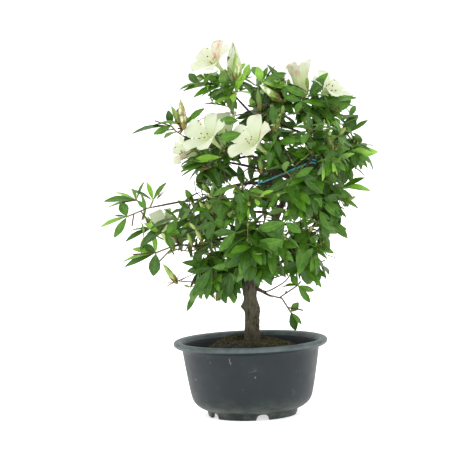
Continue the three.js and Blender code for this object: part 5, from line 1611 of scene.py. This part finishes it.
# The emission is painted light: a faint glow in the petals' own tint stands in for light shining through
# them, and it lifts their shaded sides.
set_sockets(petal.shader, {"Subsurface Weight": 0.6, "Subsurface Radius": (0.01, 0.01, 0.007),
                           "Emission Color": tint(206, 214, 178), "Emission Strength": 0.16})
petal.bump(veins, 0.0006, 0.4)
dress(blossom, [], "leaf", petal)

# %% Stamens
dress(link("stamens", tubes("stamens", stamen_lines)), [], "leaf", Finish("filament", 0.5, (236, 240, 214)))
dress(link("anthers", joined("anthers", crumb_faces, placed(crumb_points, anthers))), [], "leaf",
      Finish("anther", 0.7, (132, 84, 44)))

# %% [markdown]
# ## Buds and their scales
# A fat flower bud is a spindle of furled petals, ribbed and slightly twisted, pale green with pink along its
# seams, in a cup of brown scales. Every shoot also ends in a small green bud. Both are spheres drawn out
# along their axis, and the fat one has five ribs that turn as they rise.

# %% Bud shape
# A fat bud: the turn, number and depth of its ribs, and its girth beside its length, for long and short ones.
BUD = {"turn": 1.6, "ribs": 5, "depth": 0.14, "long": 22, "girth": 0.27, "short_girth": 0.34}
# The cup under an open flower, in millimetres.
CUP_GIRTH, CUP_LENGTH = 6.0, 20.0


def spindle(sides, rings, girth_at=None):
    """A sphere drawn out to a height of 1, with a width of 1 or a girth for each height and turn."""
    bm = bmesh.new()
    bmesh.ops.create_uvsphere(bm, u_segments=sides, v_segments=rings, radius=1)
    for vert in bm.verts:
        x, y, share = vert.co.x, vert.co.y, (vert.co.z + 1) / 2
        if girth_at:
            turn = math.atan2(y, x)
            girth = girth_at(share, turn)
            x, y = girth * math.cos(turn), girth * math.sin(turn)
        vert.co = (x / 2, y / 2, share)
    return stamp(bm)


def ribbed(share, turn):
    """The girth of a fat bud: thickest below its middle, with ribs that deepen towards the tip."""
    girth = math.sin(math.pi * min(1, share ** 0.85)) ** 0.8 if 0 < share < 1 else 0
    rib = 0.5 + 0.5 * math.cos(BUD["ribs"] * (turn + share * BUD["turn"]))
    return girth * (1 - BUD["depth"] * rib * share)


bud_points, bud_faces = spindle(15, 10, ribbed)
tip_points, tip_faces = spindle(6, 4)

bud_matrices, bud_looks, scale_frames = [], [], []
for space, foot, facing, length, look in BUDS:
    at = facing_frame(foot, facing)
    girth = length * BUD["girth" if length > BUD["long"] else "short_girth"]
    bud_matrices.append(at @ Matrix.Diagonal((girth, girth, length, 1)))
    bud_looks.append([look] * len(bud_faces))
    scale_frames.append((at, girth, length))
for space, foot, facing, *_ in FLOWERS:
    scale_frames.append((facing_frame(foot, facing), CUP_GIRTH, CUP_LENGTH))
buds = link("buds", joined("buds", bud_faces, placed(bud_points, bud_matrices), bud_looks))


def make_bud_finish(name, green, pale, flush):
    finish = Finish(name, 0.5)
    ribs = finish.noise(150, 3, 0.55, (1, 1, 0.3))
    striped = finish.blend(finish.step(ribs, 0.42, 0.58), green, pale)
    finish.colour(finish.blend(finish.patches((120, 3), 0.56, 0.68, 0.8), striped, flush))
    finish.bump(ribs, 0.0008, 0.5)
    return finish


dress(buds, [], "leaf",
      make_bud_finish("bud_green", (78, 112, 44), (104, 136, 56), (116, 100, 56)),
      make_bud_finish("bud_yellow", (128, 158, 66), (170, 190, 104), (168, 110, 84)),
      make_bud_finish("bud_striped", (132, 166, 74), (226, 232, 190), (206, 110, 118)))

# The bud at a shoot's end: how far it turns up, its length, mostly short, and its girth beside that.
SHOOT_BUD = {"rise": 0.5, "short": (4, 8), "long": (10, 15), "short_share": 0.85, "girth": 0.36}
tips, bud_dice = [], Dice(77)
for twigs in crown.values():
    for tip in twigs.shoots:
        place, heading = twigs.place[tip], twigs.heading[tip]
        way = (heading + UP * SHOOT_BUD["rise"]).normalized()
        tall = bud_dice.between(*SHOOT_BUD["short" if bud_dice.roll() < SHOOT_BUD["short_share"] else "long"])
        girth = tall * SHOOT_BUD["girth"]
        tips.append(stood(place - way, way, (girth, girth, tall)))
dress(link("shoot_buds", joined("shoot_buds", tip_faces, placed(tip_points, tips))), [], "leaf",
      mottled("shoot_bud", 0.5, (90, 3), (104, 138, 48), (144, 144, 72), (0.4, 0.62),
              ((500, 3, 0.6, (1, 1, 0.4)), 0.0004, 0.5)))

# %% Bud scales
# Nine scales to a bud: five close ones, then four that stand off further and are shorter.
CLOSE = {"count": 5, "lean": 0.28, "size": 0.5}
LOOSE = {"count": 4, "lean": 0.5, "size": 0.36}
SCALE = {"sizes": (0.85, 1.1), "first": 0.4, "apart": 0.5, "out": 0.1, "width": 0.62, "arch": -0.28}
# The leaves are in their meshes now, and the same lists take up the scales, which are small leaves too.
leaves.clear()
leaf_looks.clear()
for at, girth, length in scale_frames:
    turned = at.to_3x3()
    way = turned @ UP
    for i, form in enumerate([CLOSE] * CLOSE["count"] + [LOOSE] * LOOSE["count"]):
        turn = i * GOLDEN_ANGLE
        out = turned @ Vector((math.cos(turn), math.sin(turn), 0))
        size = length * form["size"] * bud_dice.between(*SCALE["sizes"])
        root = at.translation - way * (SCALE["first"] + SCALE["apart"] * i) + out * girth * SCALE["out"]
        lay_leaf(root, way + out * form["lean"], -out, size, size * SCALE["width"], SCALE["arch"], 0.0, DEEP_AND_SHADE)
scale_mesh = joined("bud_scales", leaf_faces, np.array(leaves), sharp=70)
dress(link("bud_scales", scale_mesh), [], "leaf",
      mottled("bud_scale", 0.65, (140, 4), (138, 134, 62), (122, 96, 50), (0.38, 0.62),
              ((600, 3), 0.0004, 0.5)))

# %% [markdown]
# ## The training wire
# A blue coated wire holds the long left bough up to the trunk: a turn round the trunk, a straight run down in
# front of the crown and a hook round the bough. Its line is worked out as in the frame's source.

# %% Wire
dress(link("tie_wire_coated", tubes("tie_wire_coated", [route], 2)), ["tie_wire"], "wire",
      mottled("wire_coat", 0.38, (130, 3), (66, 172, 186), (104, 200, 208), relief=((900, 2), 0.0002, 0.3)))

# %% [markdown]
# ## Small things caught in the crown
# Where flowers have dropped, their dry threads stay as little brown fans. A loop of orange yarn is tied round
# the trunk and a scrap of pale wire curls round the low right bough.

# %% Threads, yarn and a curl
# The place, the way a fan faces, how many threads and how long they are.
FANS = [((-103, -17, 256), (0.55, -0.2, 0.8), 8, 17), ((-46, -20, 277), (-0.8, -0.3, -0.1), 7, 13),
        ((-85, -14, 160), (-0.9, -0.2, -0.4), 7, 17), ((-85, -14, 161), (0.75, -0.2, 0.5), 4, 13),
        ((-36, -40, 149), (-0.3, -0.4, -0.85), 6, 15), ((-40, -26, 290), (-0.9, -0.3, 0.2), 6, 14),
        ((-60, -8, 150), (-0.6, -0.2, -0.7), 4, 16), ((-52, -20, 344), (0.4, -0.2, 0.8), 4, 9)]
# How far threads spread and how their lengths vary, their steps, and how they bend and taper.
THREAD = {"spread": (0.15, 0.75), "length": (0.7, 1.1), "steps": 5, "bend": 1.5, "thick": 0.34, "taper": 0.03}
fan_dice, threads = Dice(31), []
for place, facing, count, reach in FANS:
    at = facing_frame(place, facing)
    for i in range(count):
        spread, turn = fan_dice.between(*THREAD["spread"]), fan_dice.roll() * 2 * math.pi
        long = reach * fan_dice.between(*THREAD["length"])
        sideways = Vector((math.cos(turn), math.sin(turn), 0)) * spread * long
        threads.append([(at @ (sideways * (k / THREAD["steps"]) ** THREAD["bend"]
                               + Vector((0, 0, long * k / THREAD["steps"]))),
                         THREAD["thick"] - THREAD["taper"] * k) for k in range(THREAD["steps"] + 1)])
dress(link("dry_threads", tubes("dry_threads", threads)), [], "bark",
      mottled("dry_thread", 0.8, (200, 3), (84, 60, 40), (134, 104, 74)))

# Turns, rise, room to the skin and half thickness in millimetres, and how round the tube is.
YARN = {"height": 341, "turns": 2.2, "rise": 2.4, "room": 0.9, "half": 0.6, "round": 2}
CURL = {"share": 0.9, "turns": 1.4, "rise": 3.0, "room": 1.6, "half": 0.3, "round": 1}
COIL_STEPS = 16


def wind(name, limb, share, form, finish):
    """A piece that is wound round a limb."""
    places = wound(limb, share, form["turns"], form["rise"], form["room"], COIL_STEPS)
    line = [(place, form["half"]) for place in places]
    dress(link(name, tubes(name, [line], form["round"])), [], "wire", finish)


wind("yarn", stock, stock.share_at(YARN["height"]), YARN,
     mottled("yarn", 0.85, (260, 3), (196, 128, 44), (222, 160, 74), relief=((900, 3), 0.0003, 0.5)))
wind("wire_scrap", limbs["right_low"], CURL["share"], CURL,
     mottled("pale_wire", 0.5, (200, 3), (170, 168, 156), (206, 204, 196)))
